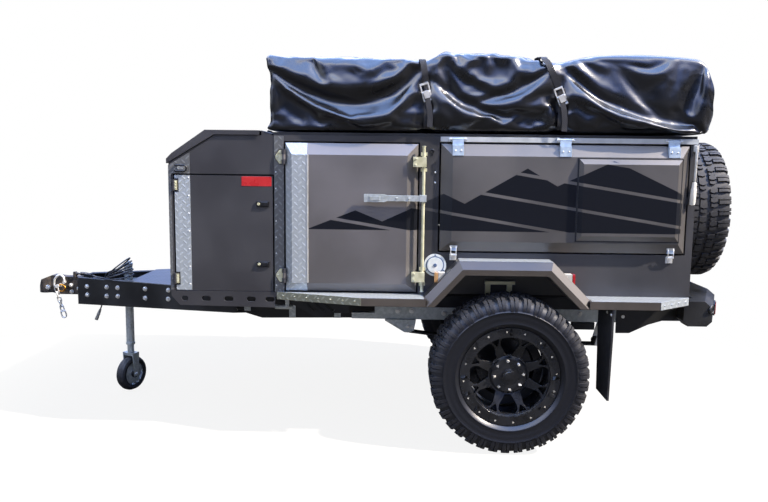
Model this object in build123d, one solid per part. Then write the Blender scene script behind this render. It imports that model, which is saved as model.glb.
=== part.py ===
from build123d import *
from math import cos, hypot, radians, sin, tan
import os

# Off-road trailer, drawn about its axle: x runs rearwards from the axle, y across (the left side is -y),
# z up from the ground. Every piece is moved forward or back by `origin_shift` as it is written, so that
# the origin ends up on the ground, in the middle of the whole length and width.
# All sizes are in millimetres.

# Overall reach, from the axle to the tip of the coupling and to the back of the spare wheel
front_reach = 2727.0
rear_reach = 1258.0
origin_shift = (front_reach - rear_reach) / 2

# Body: a sheet-metal box on a separate chassis
body_half_width = 780.0
body_front = -1160.0
body_rear = 890.0
body_bottom = 740.0
body_top = 1540.0
wall = 30.0
panel_gap = 8.0
pin_clearance = 0.3
hinge_play = 1.0
floor_top = body_bottom + wall
roof_bottom = body_top - wall

# Roof tent, packed flat on the roof
tent_front = -1165.0
tent_rear = 885.0

# Nose locker in front of the body
nose_front = -1680.0
nose_seam_height = 1348.0
nose_shoulder_height = 1403.0
nose_crown_front = -1452.0
nose_crown_height = body_top - 3.0
cowl_front = -1222.0
skirt_bottom = 692.0
skirt_thickness = 6.0
skirt_hole_height = 727.0
skirt_hole_stations = [-1613.0, -1505.0, -1392.0, -1279.0, -1185.0]

# Chequer plate trim, laid on the body's and the doors' outer faces
trim_sheet = 2.0
nose_strip_width = 105.0

# Wheels and tyres
tyre_radius = 388.0
tyre_width = 265.0
overall_half_width = 937.0
wheel_plane = overall_half_width - tyre_width / 2
bead_radius = 216.0
rim_half_width = 104.0
lip_ring_radius = 243.0
lip_ring_thickness = 10.0
spoke_count = 8
axle_height = tyre_radius

# Wheel arch: the opening cut in the body side, seen from the side, and the flare round it
arch_bottom_front = -369.0
arch_bottom_rear = 325.0
arch_top_front = -227.0
arch_top_rear = 170.0
arch_bottom_height = 729.0
arch_top_height = 884.0
flare_rise = 63.0
flare_reach = 140.0
flare_bevel = 36.0
sheet = 5.0
wheel_box_wall = wheel_plane - tyre_width / 2 - 72.0
wheel_box_sheet = 15.0

# Side steps, in line with the flares
step_top = 766.0
step_lip = 38.0
step_front_corner = -723.0
step_front_end = -1150.0
step_rear_corner = 704.0
step_rear_end = 888.0

# Chassis
rail_centre = 500.0
rail_width = 50.0
rail_inner = rail_centre - rail_width / 2
rail_outer = rail_centre + rail_width / 2
rail_top = 712.0
rail_bottom = 648.0
rail_front = -1560.0
rail_rear = 977.0
bearer_width = 50.0
bearer_stations = [-1600.0, -1080.0, -620.0, 520.0, 840.0]

# Rail under each main rail that carries the springs, with a thinner toe at its front
axle_rail_bottom = 582.0
axle_rail_front = -669.0
axle_rail_rear = 690.0
axle_toe_front = -792.0
axle_toe_top = 614.0


def block(x_range, y_range, z_range):
    """A rectangular block between three pairs of limits."""
    centre = [(low + high) / 2 for low, high in (x_range, y_range, z_range)]
    size = [high - low for low, high in (x_range, y_range, z_range)]
    return Pos(*centre) * Box(*size)


def side_plate(outline, y_range):
    """A flat outline of (x, z) points, as thick as y_range."""
    low, high = y_range
    points = [(x, low, z) for x, z in outline]
    face = make_face(Polyline(*points, close=True))
    return extrude(face, amount=high - low, dir=(0, 1, 0))


def plan_plate(outline, z_range):
    """A flat outline of (x, y) points, as thick as z_range."""
    low, high = z_range
    points = [(x, y, low) for x, y in outline]
    face = make_face(Polyline(*points, close=True))
    return extrude(face, amount=high - low, dir=(0, 0, 1))


def end_plate(outline, x_range):
    """A flat outline of (y, z) points, as thick as x_range."""
    low, high = x_range
    points = [(low, y, z) for y, z in outline]
    face = make_face(Polyline(*points, close=True))
    return extrude(face, amount=high - low, dir=(1, 0, 0))


def rod(start, end, radius):
    """A round bar between two points."""
    line = Vector(*end) - Vector(*start)
    plane = Plane(origin=start, z_dir=line)
    return plane * Cylinder(radius, line.length, align=(Align.CENTER, Align.CENTER, Align.MIN))


def on_right_side(shape):
    """The mirror image of a left-hand piece, for the other side of the trailer."""
    return mirror(shape, about=Plane.XZ)


def on_both_sides(shape):
    """A left-hand piece and its mirror image, as separate solids."""
    return Compound([*shape.solids(), *on_right_side(shape).solids()])


def hinge(origin, towards_door, inwards, length, knuckle, reach, depth):
    """One pin hinge: the fixed outer knuckles with their pin, and the door's middle knuckle.

    Each knuckle has a web, reach wide and depth deep, that runs inwards onto its panel.
    """
    across = Vector(*towards_door)
    place = Plane(origin=origin, x_dir=across, z_dir=across.cross(Vector(*inwards)))
    share = length / 3 - hinge_play
    pin = knuckle * 0.55
    fixed = rod((0, 0, -length / 2), (0, 0, length / 2), pin)
    for low in (-length / 2, length / 2 - share):
        fixed += rod((0, 0, low), (0, 0, low + share), knuckle)
        fixed += block((-reach, 0), (0, depth), (low, low + share))
    middle = rod((0, 0, -length / 6), (0, 0, length / 6), knuckle)
    middle += block((0, reach), (0, depth), (-length / 6, length / 6))
    middle -= rod((0, 0, -length / 6 - 1), (0, 0, length / 6 + 1), pin + pin_clearance)
    return place * fixed, place * middle


def write(name, shape):
    """Moves a piece to the origin's frame and writes it under its node's name."""
    os.makedirs("parts", exist_ok=True)
    export_step(Pos(origin_shift, 0, 0) * shape, f"parts/{name}.step")


def raised_pan(x_range, z_range, bevels, inner_y, base_y, face_y):
    """A door: a slab from inner_y to base_y, with a bevelled panel standing out to face_y.

    bevels are the widths of the front, rear, bottom and top slopes. The left side is -y, so face_y is the lowest.
    """
    x0, x1 = x_range
    z0, z1 = z_range
    front, rear, bottom, top = bevels
    slab = block(x_range, (base_y, inner_y), z_range)
    outer = [(x0, z0), (x1, z0), (x1, z1), (x0, z1)]
    crown = [(x0 + front, z0 + bottom), (x1 - rear, z0 + bottom), (x1 - rear, z1 - top), (x0 + front, z1 - top)]
    sections = []
    for outline, y in ((outer, base_y), (crown, face_y)):
        sections.append(make_face(Polyline(*[(x, y, z) for x, z in outline], close=True)))
    return slab + loft(sections, ruled=True)


# Chassis: two box-section rails, with bearers across them that carry the floor
rear_gusset = [(613.0, rail_top), (613.0, 526.0), (684.0, 527.0), (779.0, 573.0), (853.0, 596.0), (rail_rear, 597.0),
               (rail_rear, rail_top)]
gusset_sheet = 8.0
step_gusset = [(-1130.0, rail_top), (-1107.0, 673.0), (-965.0, 599.0), (-884.0, 625.0), (-802.0, 626.0),
               (-802.0, rail_top)]
step_gusset_plane = 600.0
step_gusset_slots = [-1025.0, -977.0, -929.0]


def chassis_rails():
    """A main rail on each side, with a deep gusset plate outside its rear end."""
    rail = block((rail_front, rail_rear), (-rail_outer, -rail_inner), (rail_bottom, rail_top))
    rail += side_plate(rear_gusset, (-rail_outer - gusset_sheet, -rail_outer))
    return on_both_sides(rail)


def axle_rails():
    """The galvanised rail under each main rail, with its spring hangers, and the bracket inside each wheel arch."""
    outline = [(axle_toe_front, axle_rail_bottom), (axle_rail_rear, axle_rail_bottom), (axle_rail_rear, rail_bottom),
               (axle_rail_front, rail_bottom), (axle_rail_front, axle_toe_top), (axle_toe_front, axle_toe_top)]
    rail = side_plate(outline, (-rail_outer, -rail_inner)) + spring_hangers()
    box_face = -wheel_box_wall - wheel_box_sheet
    bracket = block((-100, 55), (box_face - 25, box_face), (795, 813))
    for x in (-97, 14):
        bracket += block((x, x + 28), (box_face - 15, box_face), (body_bottom + 2, 795))
    return on_both_sides(Compound([*rail.solids(), *bracket.solids()]))


def cross_bearers():
    """Bearers across the rails, the second of which carries a slotted gusset under each front step."""
    reach = body_half_width - wall
    gusset = side_plate(step_gusset, (-step_gusset_plane - 3, -step_gusset_plane + 3))
    for x in step_gusset_slots:
        slot = [(x, 668.0), (x + 44, 632.0), (x + 52, 640.0), (x + 8, 676.0)]
        gusset -= side_plate(slot, (-step_gusset_plane - 4, -step_gusset_plane + 4))
    solids = []
    for station in bearer_stations:
        bearer = block((station, station + bearer_width), (-reach, reach), (rail_top, body_bottom))
        if station == bearer_stations[1]:
            bearer += gusset + on_right_side(gusset)
        solids += bearer.solids()
    return Compound(solids)


# Suspension: leaf springs over a beam axle
spring_eye_front = -490.0
spring_eye_rear = 520.0
spring_eye_height = 530.0
shackle_eye_height = 475.0
eye_radius = 20.0
spring_width = 60.0
leaf_thickness = 9.0
leaf_count = 4
axle_radius = 32.0
axle_pad = 12.0
hanger_pin_radius = 8.0
hanger_cheek = 8.0
seat_plate = 6.0
shackle_top_x = 548.0
shackle_top_z = 560.0


def spring_hangers():
    """The front spring hanger and the shackle's boss under one axle rail, the hanger below its own seat plate."""
    reach = spring_width / 2 + 2 + hanger_cheek
    hanger_front, hanger_rear = spring_eye_front - 124, spring_eye_front + 41
    seat_bottom = axle_rail_bottom - seat_plate
    hanger = block((hanger_front, hanger_rear), (-rail_centre - reach, -rail_centre + reach),
                   (seat_bottom, axle_rail_bottom))
    for low, high in ((-reach, hanger_cheek - reach), (reach - hanger_cheek, reach)):
        cheek = [(hanger_front, seat_bottom), (hanger_rear, seat_bottom), (hanger_rear - 10, spring_eye_height - 6),
                 (spring_eye_front + 4, spring_eye_height - 18), (spring_eye_front - 20, spring_eye_height - 16)]
        hanger += side_plate(cheek, (low - rail_centre, high - rail_centre))
    hanger += rod((spring_eye_front, -rail_centre - reach, spring_eye_height),
                  (spring_eye_front, -rail_centre + reach, spring_eye_height), hanger_pin_radius)
    boss_y = (-rail_centre - spring_width / 2, -rail_centre + spring_width / 2)
    boss = block((shackle_top_x - 18, shackle_top_x + 18), boss_y, (shackle_top_z, axle_rail_bottom))
    boss += rod((shackle_top_x, boss_y[0], shackle_top_z), (shackle_top_x, boss_y[1], shackle_top_z), 18.0)
    boss -= rod((shackle_top_x, boss_y[0] - 1, shackle_top_z), (shackle_top_x, boss_y[1] + 1, shackle_top_z),
                hanger_pin_radius + pin_clearance)
    return hanger + boss


def leaf_spring():
    """One spring pack: stacked flat leaves of falling length, bent in shallow arcs, with an eye at each end."""
    seat_z = axle_height + axle_radius + axle_pad
    pack = leaf_thickness * leaf_count
    main_z = seat_z + pack - leaf_thickness
    y_range = (-rail_centre - spring_width / 2, -rail_centre + spring_width / 2)
    flat_half = 60.0
    spring = None
    for number in range(leaf_count):
        share = 1 - 0.22 * number
        z = main_z - number * leaf_thickness
        front = (spring_eye_front * share, z + (spring_eye_height - eye_radius - main_z) * share ** 2)
        rear = (spring_eye_rear * share, z + (shackle_eye_height - eye_radius - main_z) * share ** 2)
        lower = [front, (-flat_half, z), (flat_half, z), rear]
        upper = [(x, height + leaf_thickness) for x, height in reversed(lower)]
        leaf = side_plate(lower + upper, y_range)
        spring = leaf if spring is None else spring + leaf
    for x, z in ((spring_eye_front, spring_eye_height), (spring_eye_rear, shackle_eye_height)):
        eye = rod((x, y_range[0], z), (x, y_range[1], z), eye_radius)
        spring += eye
        spring -= rod((x, y_range[0] - 1, z), (x, y_range[1] + 1, z), hanger_pin_radius + pin_clearance)
    return spring


def shackle():
    """The pair of links that lets the spring's rear eye swing, with its two pins."""
    reach = spring_width / 2 + 2 + hanger_cheek
    link = None
    for low, high in ((-reach, hanger_cheek - reach), (reach - hanger_cheek, reach)):
        outline = [(spring_eye_rear - 18, shackle_eye_height - 18), (spring_eye_rear + 18, shackle_eye_height - 18),
                   (shackle_top_x + 16, shackle_top_z + 12), (shackle_top_x - 16, shackle_top_z + 12)]
        cheek = side_plate(outline, (low - rail_centre, high - rail_centre))
        link = cheek if link is None else link + cheek
    for x, z in ((spring_eye_rear, shackle_eye_height), (shackle_top_x, shackle_top_z)):
        link += rod((x, -rail_centre - reach, z), (x, -rail_centre + reach, z), hanger_pin_radius)
    return link


# Axle: a tube from wheel to wheel, with spring pads, brake backing plates and spindles
backing_plate_radius = 150.0
backing_plate_inner = wheel_plane - 184.5
backing_plate_outer = backing_plate_inner + 8.0
spindle_radius = 22.0
spindle_end = wheel_plane - 62.5
drum_inner = backing_plate_outer + 6.0
drum_outer = wheel_plane - 104.5
drum_radius = 142.0
hub_radius = 62.0


def axle_beam():
    tube = rod((0, -backing_plate_outer, axle_height), (0, backing_plate_outer, axle_height), axle_radius)
    for side in (-1, 1):
        tube += rod((0, side * backing_plate_inner, axle_height), (0, side * backing_plate_outer, axle_height),
                    backing_plate_radius)
        tube += rod((0, side * backing_plate_outer, axle_height), (0, side * spindle_end, axle_height),
                    spindle_radius)
        seat_z = axle_height + axle_radius
        y_range = (side * rail_centre - 42, side * rail_centre + 42)
        tube += block((-55, 55), y_range, (seat_z - 20, seat_z + axle_pad))
        clamp_z = seat_z + axle_pad + leaf_count * leaf_thickness
        tube += block((-55, 55), y_range, (clamp_z, clamp_z + 10))
        for x in (-44, 44):
            for y in (side * rail_centre - 36, side * rail_centre + 36):
                tube += rod((x, y, seat_z - 28), (x, y, clamp_z + 22), 5.0)
    return tube


# Shock absorbers: two to a side, between a bracket on the body and the axle
shock_stations = [-78.0, 54.0]
shock_plane = backing_plate_inner - 30.0
shock_top = 738.0


def shock_pair():
    """Two telescopic dampers standing on a cross plate clamped to the axle, under a bracket on the body floor."""
    foot_top = axle_height - axle_radius
    pieces = block((-112, 88), (-shock_plane - 24, -shock_plane + 24), (foot_top - 14, foot_top))
    for x in shock_stations:
        pieces += rod((x, -shock_plane, foot_top - 8), (x, -shock_plane, 560), 13.0)
        pieces += rod((x, -shock_plane, 470), (x, -shock_plane, shock_top - 10), 24.0)
    return pieces


# Wheels
tyre_pitches = 22
tread_depth = 12.0
centre_groove = 8.0


def tyre():
    """A mud tyre about its own axis (local z). Its lugs run in from both shoulders, half a pitch apart."""
    half = tyre_width / 2
    floor = tyre_radius - tread_depth
    turn = 360 / (2 * tyre_pitches)
    bore = bead_radius / cos(radians(turn / 2))
    wall_line = [(bore, rim_half_width - 1), (lip_ring_radius + 4, rim_half_width - 1),
                 (lip_ring_radius + 22, half - 6), (lip_ring_radius + 60, half), (tyre_radius - 43, half - 4)]
    lug_line = wall_line + [(tyre_radius - 16, half - 14), (tyre_radius, half - 34), (tyre_radius, centre_groove),
                            (floor, centre_groove)]
    groove_line = wall_line + [(tyre_radius - 26, half - 15), (floor, half - 34), (floor, centre_groove)]

    def spot(radius, z, number):
        return (radius * cos(radians(turn * number)), radius * sin(radians(turn * number)), z)

    def quad(start, end, number):
        corners = [spot(*start, number), spot(*end, number), spot(*end, number + 1), spot(*start, number + 1)]
        return make_face(Polyline(*corners, close=True))

    faces = []
    for number in range(2 * tyre_pitches):
        for side in (-1, 1):
            line = lug_line if (number + (side > 0)) % 2 == 0 else groove_line
            for start, end in zip(line, line[1:]):
                faces.append(quad((start[0], side * start[1]), (end[0], side * end[1]), number))
            flank = lug_line[len(wall_line) - 1:] + groove_line[:len(wall_line) - 1:-1][1:]
            faces.append(make_face(Polyline(*[spot(r, side * z, number) for r, z in flank], close=True)))
        faces.append(quad((floor, -centre_groove), (floor, centre_groove), number))
        faces.append(quad((bore, 1 - rim_half_width), (bore, rim_half_width - 1), number))
    return Solid(Shell(faces))


hub_face = 78.0
hub_face_radius = 84.0
disc_back = 40.0
barrel_inner = 197.0
barrel_outer = bead_radius - 0.5
back_flange = 8.0
cap_radius = 31.0
cap_rise = 20.0


def rim(with_drum):
    """A rim with eight forked spokes about its own axis (local z), its face towards +z.

    The disc is dished: its spokes rise from a low ring round the hub to the lip. The road wheels carry their
    brake drum.
    """
    ring_top = rim_half_width + lip_ring_thickness
    flange = -rim_half_width - back_flange
    profile = [(0, disc_back), (hub_face_radius, disc_back), (barrel_inner, disc_back + 20), (barrel_inner, flange),
               (bead_radius + 17, flange), (bead_radius + 17, -rim_half_width), (barrel_outer, -rim_half_width),
               (barrel_outer, rim_half_width), (lip_ring_radius, rim_half_width), (lip_ring_radius, ring_top),
               (barrel_inner, ring_top), (barrel_inner, hub_face + 14), (hub_face_radius + 10, hub_face - 14),
               (hub_face_radius, hub_face), (cap_radius, hub_face), (cap_radius, hub_face + cap_rise),
               (0, hub_face + cap_rise)]
    section = make_face(Polyline(*[(r, 0, z) for r, z in profile], close=True))
    wheel = revolve(section, axis=Axis.Z)
    window = [(100, -15), (150, -45), (172, -47), (191, -34), (191, 34), (172, 47), (150, 45), (100, 15)]
    fork_gap = [(158, -4), (191, -21), (191, 21), (158, 4)]
    step = 360 / spoke_count
    for number in range(spoke_count):
        for outline, turn in ((window, step * number), (fork_gap, step * (number + 0.5))):
            wheel -= Rot(0, 0, turn) * plan_plate(outline, (disc_back - 5, ring_top))
    if with_drum:
        back = drum_inner - wheel_plane
        shoulder = drum_outer - wheel_plane
        wheel += round_boss(back, shoulder, drum_radius)
        wheel += round_boss(shoulder, disc_back + 1, hub_radius)
        bore_end = spindle_end - wheel_plane + 3
        wheel -= round_boss(back - 1, bore_end, spindle_radius + pin_clearance)
    return wheel


def round_boss(low, high, radius):
    """A round boss between two heights on the local axis."""
    return Pos(0, 0, (low + high) / 2) * Cylinder(radius, high - low)


left_wheel_place = Pos(0, -wheel_plane, axle_height) * Rot(90, 0, 0)
bumper_top = 734.0
spare_clearance = 38.0
spare_height = bumper_top + spare_clearance + tyre_radius
spare_plane = rear_reach - tyre_width / 2
spare_place = Pos(spare_plane, 0, spare_height) * Rot(0, 90, 0)


# Body box
def arch_outline(grow, floor):
    """The wheel arch seen from the side, enlarged all round by grow and carried down to a height."""
    lower = 300.0
    slope_front = (arch_top_front - arch_bottom_front) / (arch_top_height - arch_bottom_height)
    slope_rear = (arch_top_rear - arch_bottom_rear) / (arch_top_height - arch_bottom_height)
    run_front = hypot(1, slope_front) * grow
    run_rear = hypot(1, slope_rear) * grow
    top = arch_top_height + grow

    def front_at(z):
        return arch_bottom_front + slope_front * (z - arch_bottom_height) - run_front

    def rear_at(z):
        return arch_bottom_rear + slope_rear * (z - arch_bottom_height) + run_rear

    return [(front_at(floor), floor), (front_at(top), top), (rear_at(top), top), (rear_at(floor), floor)]


side_door_front = -1104.0
side_door_rear = -457.0
side_door_bottom = 776.0
side_door_top = 1503.0
hatch_front = -346.0
hatch_rear = 848.0
hatch_bottom = 984.0
hatch_top = 1506.0


through_wall = (-body_half_width - 1, -body_half_width + wall + 1)


def door_hole(x_range, z_range):
    """The hole in the left side that a door closes, with the gap all round."""
    return block((x_range[0] - panel_gap, x_range[1] + panel_gap), through_wall,
                 (z_range[0] - panel_gap, z_range[1] + panel_gap))


side_door_pin = (side_door_front - 6, -body_half_width - 14)
side_door_hinge_heights = [851.0, 1434.0]


def side_door_hinges():
    """The side door's hinges, each as its fixed and its moving half."""
    depth = -body_half_width - side_door_pin[1]
    return [hinge((*side_door_pin, z), (1, 0, 0), (0, 1, 0), 72, 9, 12, depth) for z in side_door_hinge_heights]


def side_panel():
    """The left-hand wall, with the side door's hole, the hatch's hole and the wheel arch cut in it."""
    panel = block((body_front, body_rear), (-body_half_width, -body_half_width + wall), (body_bottom, body_top))
    panel -= door_hole((side_door_front, side_door_rear), (side_door_bottom, side_door_top))
    panel -= door_hole((hatch_front, hatch_rear), (hatch_bottom, hatch_top))
    panel -= side_plate(arch_outline(wheel_box_sheet, body_bottom - 5), through_wall)
    for fixed, moving in side_door_hinges():
        panel += fixed
    return panel


def floor_pan():
    """The floor between the side walls, with a box over each wheel."""
    reach = body_half_width - wall
    inner = (body_front + wall, body_rear - wall)
    floor = block(inner, (-reach, reach), (body_bottom, floor_top))
    for side in (-1, 1):
        y_range = tuple(sorted((side * wheel_box_wall, side * reach)))
        wide = tuple(sorted((side * (wheel_box_wall + wheel_box_sheet), side * (reach + 1))))
        floor += side_plate(arch_outline(wheel_box_sheet, body_bottom), y_range)
        floor -= side_plate(arch_outline(0, body_bottom - 5), wide)
    return floor


frame_post = 50.0
frame_bar = 20.0


def roof_panel():
    reach = body_half_width - wall
    return block((body_front + wall, body_rear - wall), (-reach, reach), (roof_bottom, body_top))


def rear_frame():
    """The frame round the tailgate's opening, between the side walls."""
    reach = body_half_width - wall
    frame = block((body_rear - wall, body_rear), (-reach, reach), (body_bottom, body_top))
    frame -= block((body_rear - wall - 1, body_rear + 1), (frame_post - reach, reach - frame_post),
                   (floor_top + frame_bar, roof_bottom - frame_bar))
    for fixed, moving in tail_hinges():
        frame += fixed
    return frame


def bulkhead():
    """The wall between the body and the nose locker."""
    reach = body_half_width - wall
    return block((body_front, body_front + wall), (-reach, reach), (body_bottom, body_top))


# Nose locker
locker_half_width = body_half_width - wall - 5
corner_post = 20.0
nose_door_pin = (nose_front + corner_post + 4, -body_half_width - 8)
nose_hinge_heights = [828.0, 1291.0]
nose_door_front = nose_front + corner_post + panel_gap
nose_latch_x = -1217.0
nose_latch_heights = [905.0, 1203.0]
lid_pin = (cowl_front - 4, nose_crown_height + 29)
lid_hinge_stations = [-520.0, 0.0, 520.0]


def nose_door_hinges():
    return [hinge((*nose_door_pin, z), (1, 0, 0), (0, 1, 0), 54, 6, 10, 8) for z in nose_hinge_heights]


def lid_hinges():
    return [hinge((lid_pin[0], y, lid_pin[1]), (-1, 0, 0), (0, 0, -1), 90, 5, 10, 8) for y in lid_hinge_stations]


lid_gap = 5.0
lid_sheet = 4.0
lid_lip = 24.0


def nose_outline(drop):
    """The locker seen from the side, its sloped top lowered by drop."""
    return [(nose_front, body_bottom), (nose_front, nose_shoulder_height - drop),
            (nose_crown_front, nose_crown_height - drop), (body_front, nose_crown_height - drop),
            (body_front, body_bottom)]


def nose_box():
    """The locker's shell: floor, front wall, upper side panels and corner posts, open at both sides and on top."""
    shell = side_plate(nose_outline(0), (-body_half_width, body_half_width))
    door_recess = wall + 5
    for side in (-1, 1):
        y_range = tuple(sorted((side * (body_half_width - door_recess), side * (body_half_width + 1))))
        shell -= block((nose_front + corner_post, body_front + 1), y_range, (body_bottom + 26, nose_seam_height))
    inner_reach = locker_half_width - wall
    cavity = [(nose_front + wall, floor_top), (nose_front + wall, nose_shoulder_height + 60),
              (body_front - wall, nose_crown_height + 60), (body_front - wall, floor_top)]
    shell -= side_plate(cavity, (-inner_reach, inner_reach))
    door_window = block((nose_front + 60, body_front - 40), (-body_half_width - 1, body_half_width + 1),
                        (floor_top + 20, nose_seam_height - 40))
    shell -= door_window
    cowl_rear = tent_front - 8
    cowl = [(cowl_front, nose_crown_height), (cowl_front, nose_crown_height + 24), (cowl_rear, nose_crown_height + 8),
            (cowl_rear, nose_crown_height)]
    shell += side_plate(cowl, (-body_half_width, body_half_width))
    skirt = [(nose_front, body_bottom), (nose_front + 42, skirt_bottom), (body_front, skirt_bottom - 6),
             (body_front, body_bottom)]
    for side in (-1, 1):
        y_range = tuple(sorted((side * (body_half_width - skirt_thickness), side * body_half_width)))
        plate = side_plate(skirt, y_range)
        for x in skirt_hole_stations:
            slot = Pos(x, side * body_half_width, skirt_hole_height) * Rot(90, 0, 0)
            plate -= slot * extrude(SlotOverall(46 if x > nose_front + 90 else 34, 25), amount=20, both=True)
        shell += plate
    for fixed, moving in nose_door_hinges():
        shell += fixed + on_right_side(fixed)
    for fixed, moving in lid_hinges():
        shell += fixed
    return shell


def nose_lid():
    """A folded lid over the locker's sloped top, with lips down its sides and front."""
    reach = body_half_width + lid_gap + lid_sheet
    front = nose_front - lid_gap - lid_sheet
    top = [(front, nose_shoulder_height - 6), (front, nose_shoulder_height + 16), (nose_front + 18, nose_shoulder_height + 44),
           (nose_crown_front - 45, nose_crown_height + 24), (cowl_front - panel_gap, nose_crown_height + 24),
           (cowl_front - panel_gap, nose_crown_height + 2), (nose_crown_front, nose_crown_height + 2)]
    lid = side_plate(top, (-reach, reach))
    under = [(front + lid_sheet, nose_shoulder_height - 40), (front + lid_sheet, nose_shoulder_height + 13),
             (nose_front + 20, nose_shoulder_height + 38), (nose_crown_front - 43, nose_crown_height + 19),
             (cowl_front, nose_crown_height + 19), (cowl_front, nose_crown_height - 40)]
    lid -= side_plate(under, (-reach + lid_sheet, reach - lid_sheet))
    for fixed, moving in lid_hinges():
        lid += moving
    return lid


def stone_guard():
    """Chequer plate over the locker's front, folded round its corners, and a strip up each front corner of the body."""
    outer = -body_half_width - trim_sheet
    foot = body_bottom + 30
    guard = block((nose_front - trim_sheet, nose_front), (outer, -outer), (foot, nose_shoulder_height - 14))
    post_rear = nose_front + corner_post - 8
    strip_rear = nose_front + nose_strip_width
    slope = (nose_crown_height - nose_shoulder_height) / (nose_crown_front - nose_front)
    fold = [(nose_front, foot), (post_rear, foot), (post_rear, nose_seam_height), (strip_rear, nose_seam_height),
            (strip_rear, nose_shoulder_height + slope * nose_strip_width - 14), (nose_front, nose_shoulder_height - 14)]
    fold = side_plate(fold, (outer, -body_half_width))
    guard += fold + on_right_side(fold)
    strip = block((body_front, side_door_front - panel_gap - 1), (outer, -body_half_width), (step_top + 1, body_top - 5))
    for fixed, moving in side_door_hinges():
        strip -= fixed
    return Compound([*guard.solids(), *on_both_sides(strip).solids()])


def nose_door():
    """The left-hand locker door, hung on its front edge, with two latches near its rear edge."""
    door = block((nose_door_front, body_front - panel_gap), (-body_half_width, -body_half_width + wall),
                 (body_bottom + 28, nose_seam_height - panel_gap))
    for z in nose_latch_heights:
        door += block((nose_latch_x - 25, nose_latch_x + 25), (-body_half_width - 5, -body_half_width + 1), (z - 13, z + 13))
    for fixed, moving in nose_door_hinges():
        door += moving
    return door


def nose_fold():
    """The chequer plate strip on the front edge of the left-hand locker door."""
    strip = block((nose_door_front, nose_front + nose_strip_width), (-body_half_width - trim_sheet, -body_half_width),
                  (body_bottom + 30, nose_seam_height - panel_gap))
    for fixed, moving in nose_door_hinges():
        strip -= moving
    return strip


# Side door, hatch and their fittings, left side
pan_rise = 30.0
hinge_stand_off = 8.0
lock_rod_x = -430.0
lock_rod_radius = 8.0
lock_rod_y = -body_half_width - 32
lever_height = 1242.0
lever_tip = -717.0
lever_neck = -610.0


side_door_bevels = (34, 53, 42, 56)
door_fold_rear = -997.0
lock_block_heights = [856.0, 1417.0]
lock_block_half = 24.0
lock_block_depth = 14.0


def side_door_pan(outwards):
    """The side door's bevelled pan, moved outwards."""
    face = -body_half_width - outwards
    return raised_pan((side_door_front, side_door_rear), (side_door_bottom, side_door_top), side_door_bevels,
                      face + wall, face, face - pan_rise)


def side_door():
    """The side door, hung on its front edge."""
    door = side_door_pan(0)
    for fixed, moving in side_door_hinges():
        door += moving
    return door


def door_fold():
    """Chequer plate folded over the door's front slope and the first part of its face."""
    front_part = block((side_door_front - 1, door_fold_rear), (-body_half_width - 100, -body_half_width + wall),
                       (side_door_bottom - 1, side_door_top + 1))
    return (side_door_pan(trim_sheet) & front_part) - side_door()


def door_lock():
    """The locking bar down the door's rear edge, its two bearing blocks and its long lever."""
    front_y = lock_rod_y - lock_block_depth
    gear = rod((lock_rod_x, lock_rod_y, side_door_bottom + 6), (lock_rod_x, lock_rod_y, side_door_top - 9), lock_rod_radius)
    for z in lock_block_heights:
        z_range = (z - lock_block_half, z + lock_block_half)
        gear += block((side_door_rear - 25, side_door_rear), (front_y, -body_half_width), z_range)
        gear += block((side_door_rear, lock_rod_x + 12), (front_y, lock_rod_y + lock_block_depth), z_range)
    lever_y = (front_y - 18, front_y)
    gear += block((lever_tip, lever_neck), lever_y, (lever_height - 19, lever_height + 19))
    gear += block((lever_neck, lock_rod_x + 10), lever_y, (lever_height - 14, lever_height + 14))
    gear += block((lock_rod_x - 12, lock_rod_x + 12), (front_y - 2, lock_rod_y), (lever_height - 16, lever_height + 16))
    return gear - side_door()


bulge_front = 316.0
bulge_rear = 806.0
bulge_bottom = 1046.0
bulge_top = 1440.0
bulge_rise = 22.0
strap_stations = [-266.0, 250.0, 768.0]
rail_pin_height = 1529.0
rail_pin_y = -body_half_width - 12
rail_knuckle = 7.0
rail_pin_radius = 4.0
latch_stations = [-278.0, 779.0]


def hatch():
    """The long top-hung hatch, with a second bevelled panel standing out of its rear half."""
    panel = raised_pan((hatch_front, hatch_rear), (hatch_bottom, hatch_top), (56, 40, 50, 57),
                       -body_half_width + wall, -body_half_width, -body_half_width - pan_rise)
    face_y = -body_half_width - pan_rise
    panel += raised_pan((bulge_front, bulge_rear), (bulge_bottom, bulge_top), (18, 22, 24, 24),
                        face_y + 5, face_y - 4, face_y - bulge_rise)
    return panel


def hatch_fittings():
    """Three strap hinges at the top of the hatch, and the upper halves of its two toggle latches."""
    pieces = []
    for x in strap_stations:
        strap = block((x - 27, x + 27), (-body_half_width - pan_rise - 3, -body_half_width - pan_rise + 24),
                      (hatch_top - 56, hatch_top - 6))
        knuckle = rod((x - 27, rail_pin_y, rail_pin_height), (x + 27, rail_pin_y, rail_pin_height), rail_knuckle)
        link = side_plate([(x - 27, hatch_top - 57), (x + 27, hatch_top - 57), (x + 27, rail_pin_height), (x - 27, rail_pin_height)],
                          (rail_pin_y - 6, rail_pin_y - 1))
        bore = rod((x - 28, rail_pin_y, rail_pin_height), (x + 28, rail_pin_y, rail_pin_height),
                   rail_pin_radius + pin_clearance)
        piece = strap + link + knuckle - bore - hatch()
        pieces += piece.solids()
    for x in latch_stations:
        latch = block((x - 14, x + 14), (-body_half_width - 16, -body_half_width), (hatch_bottom + 2, hatch_bottom + 26))
        pieces += (latch - hatch()).solids()
    return Compound(pieces)


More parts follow.
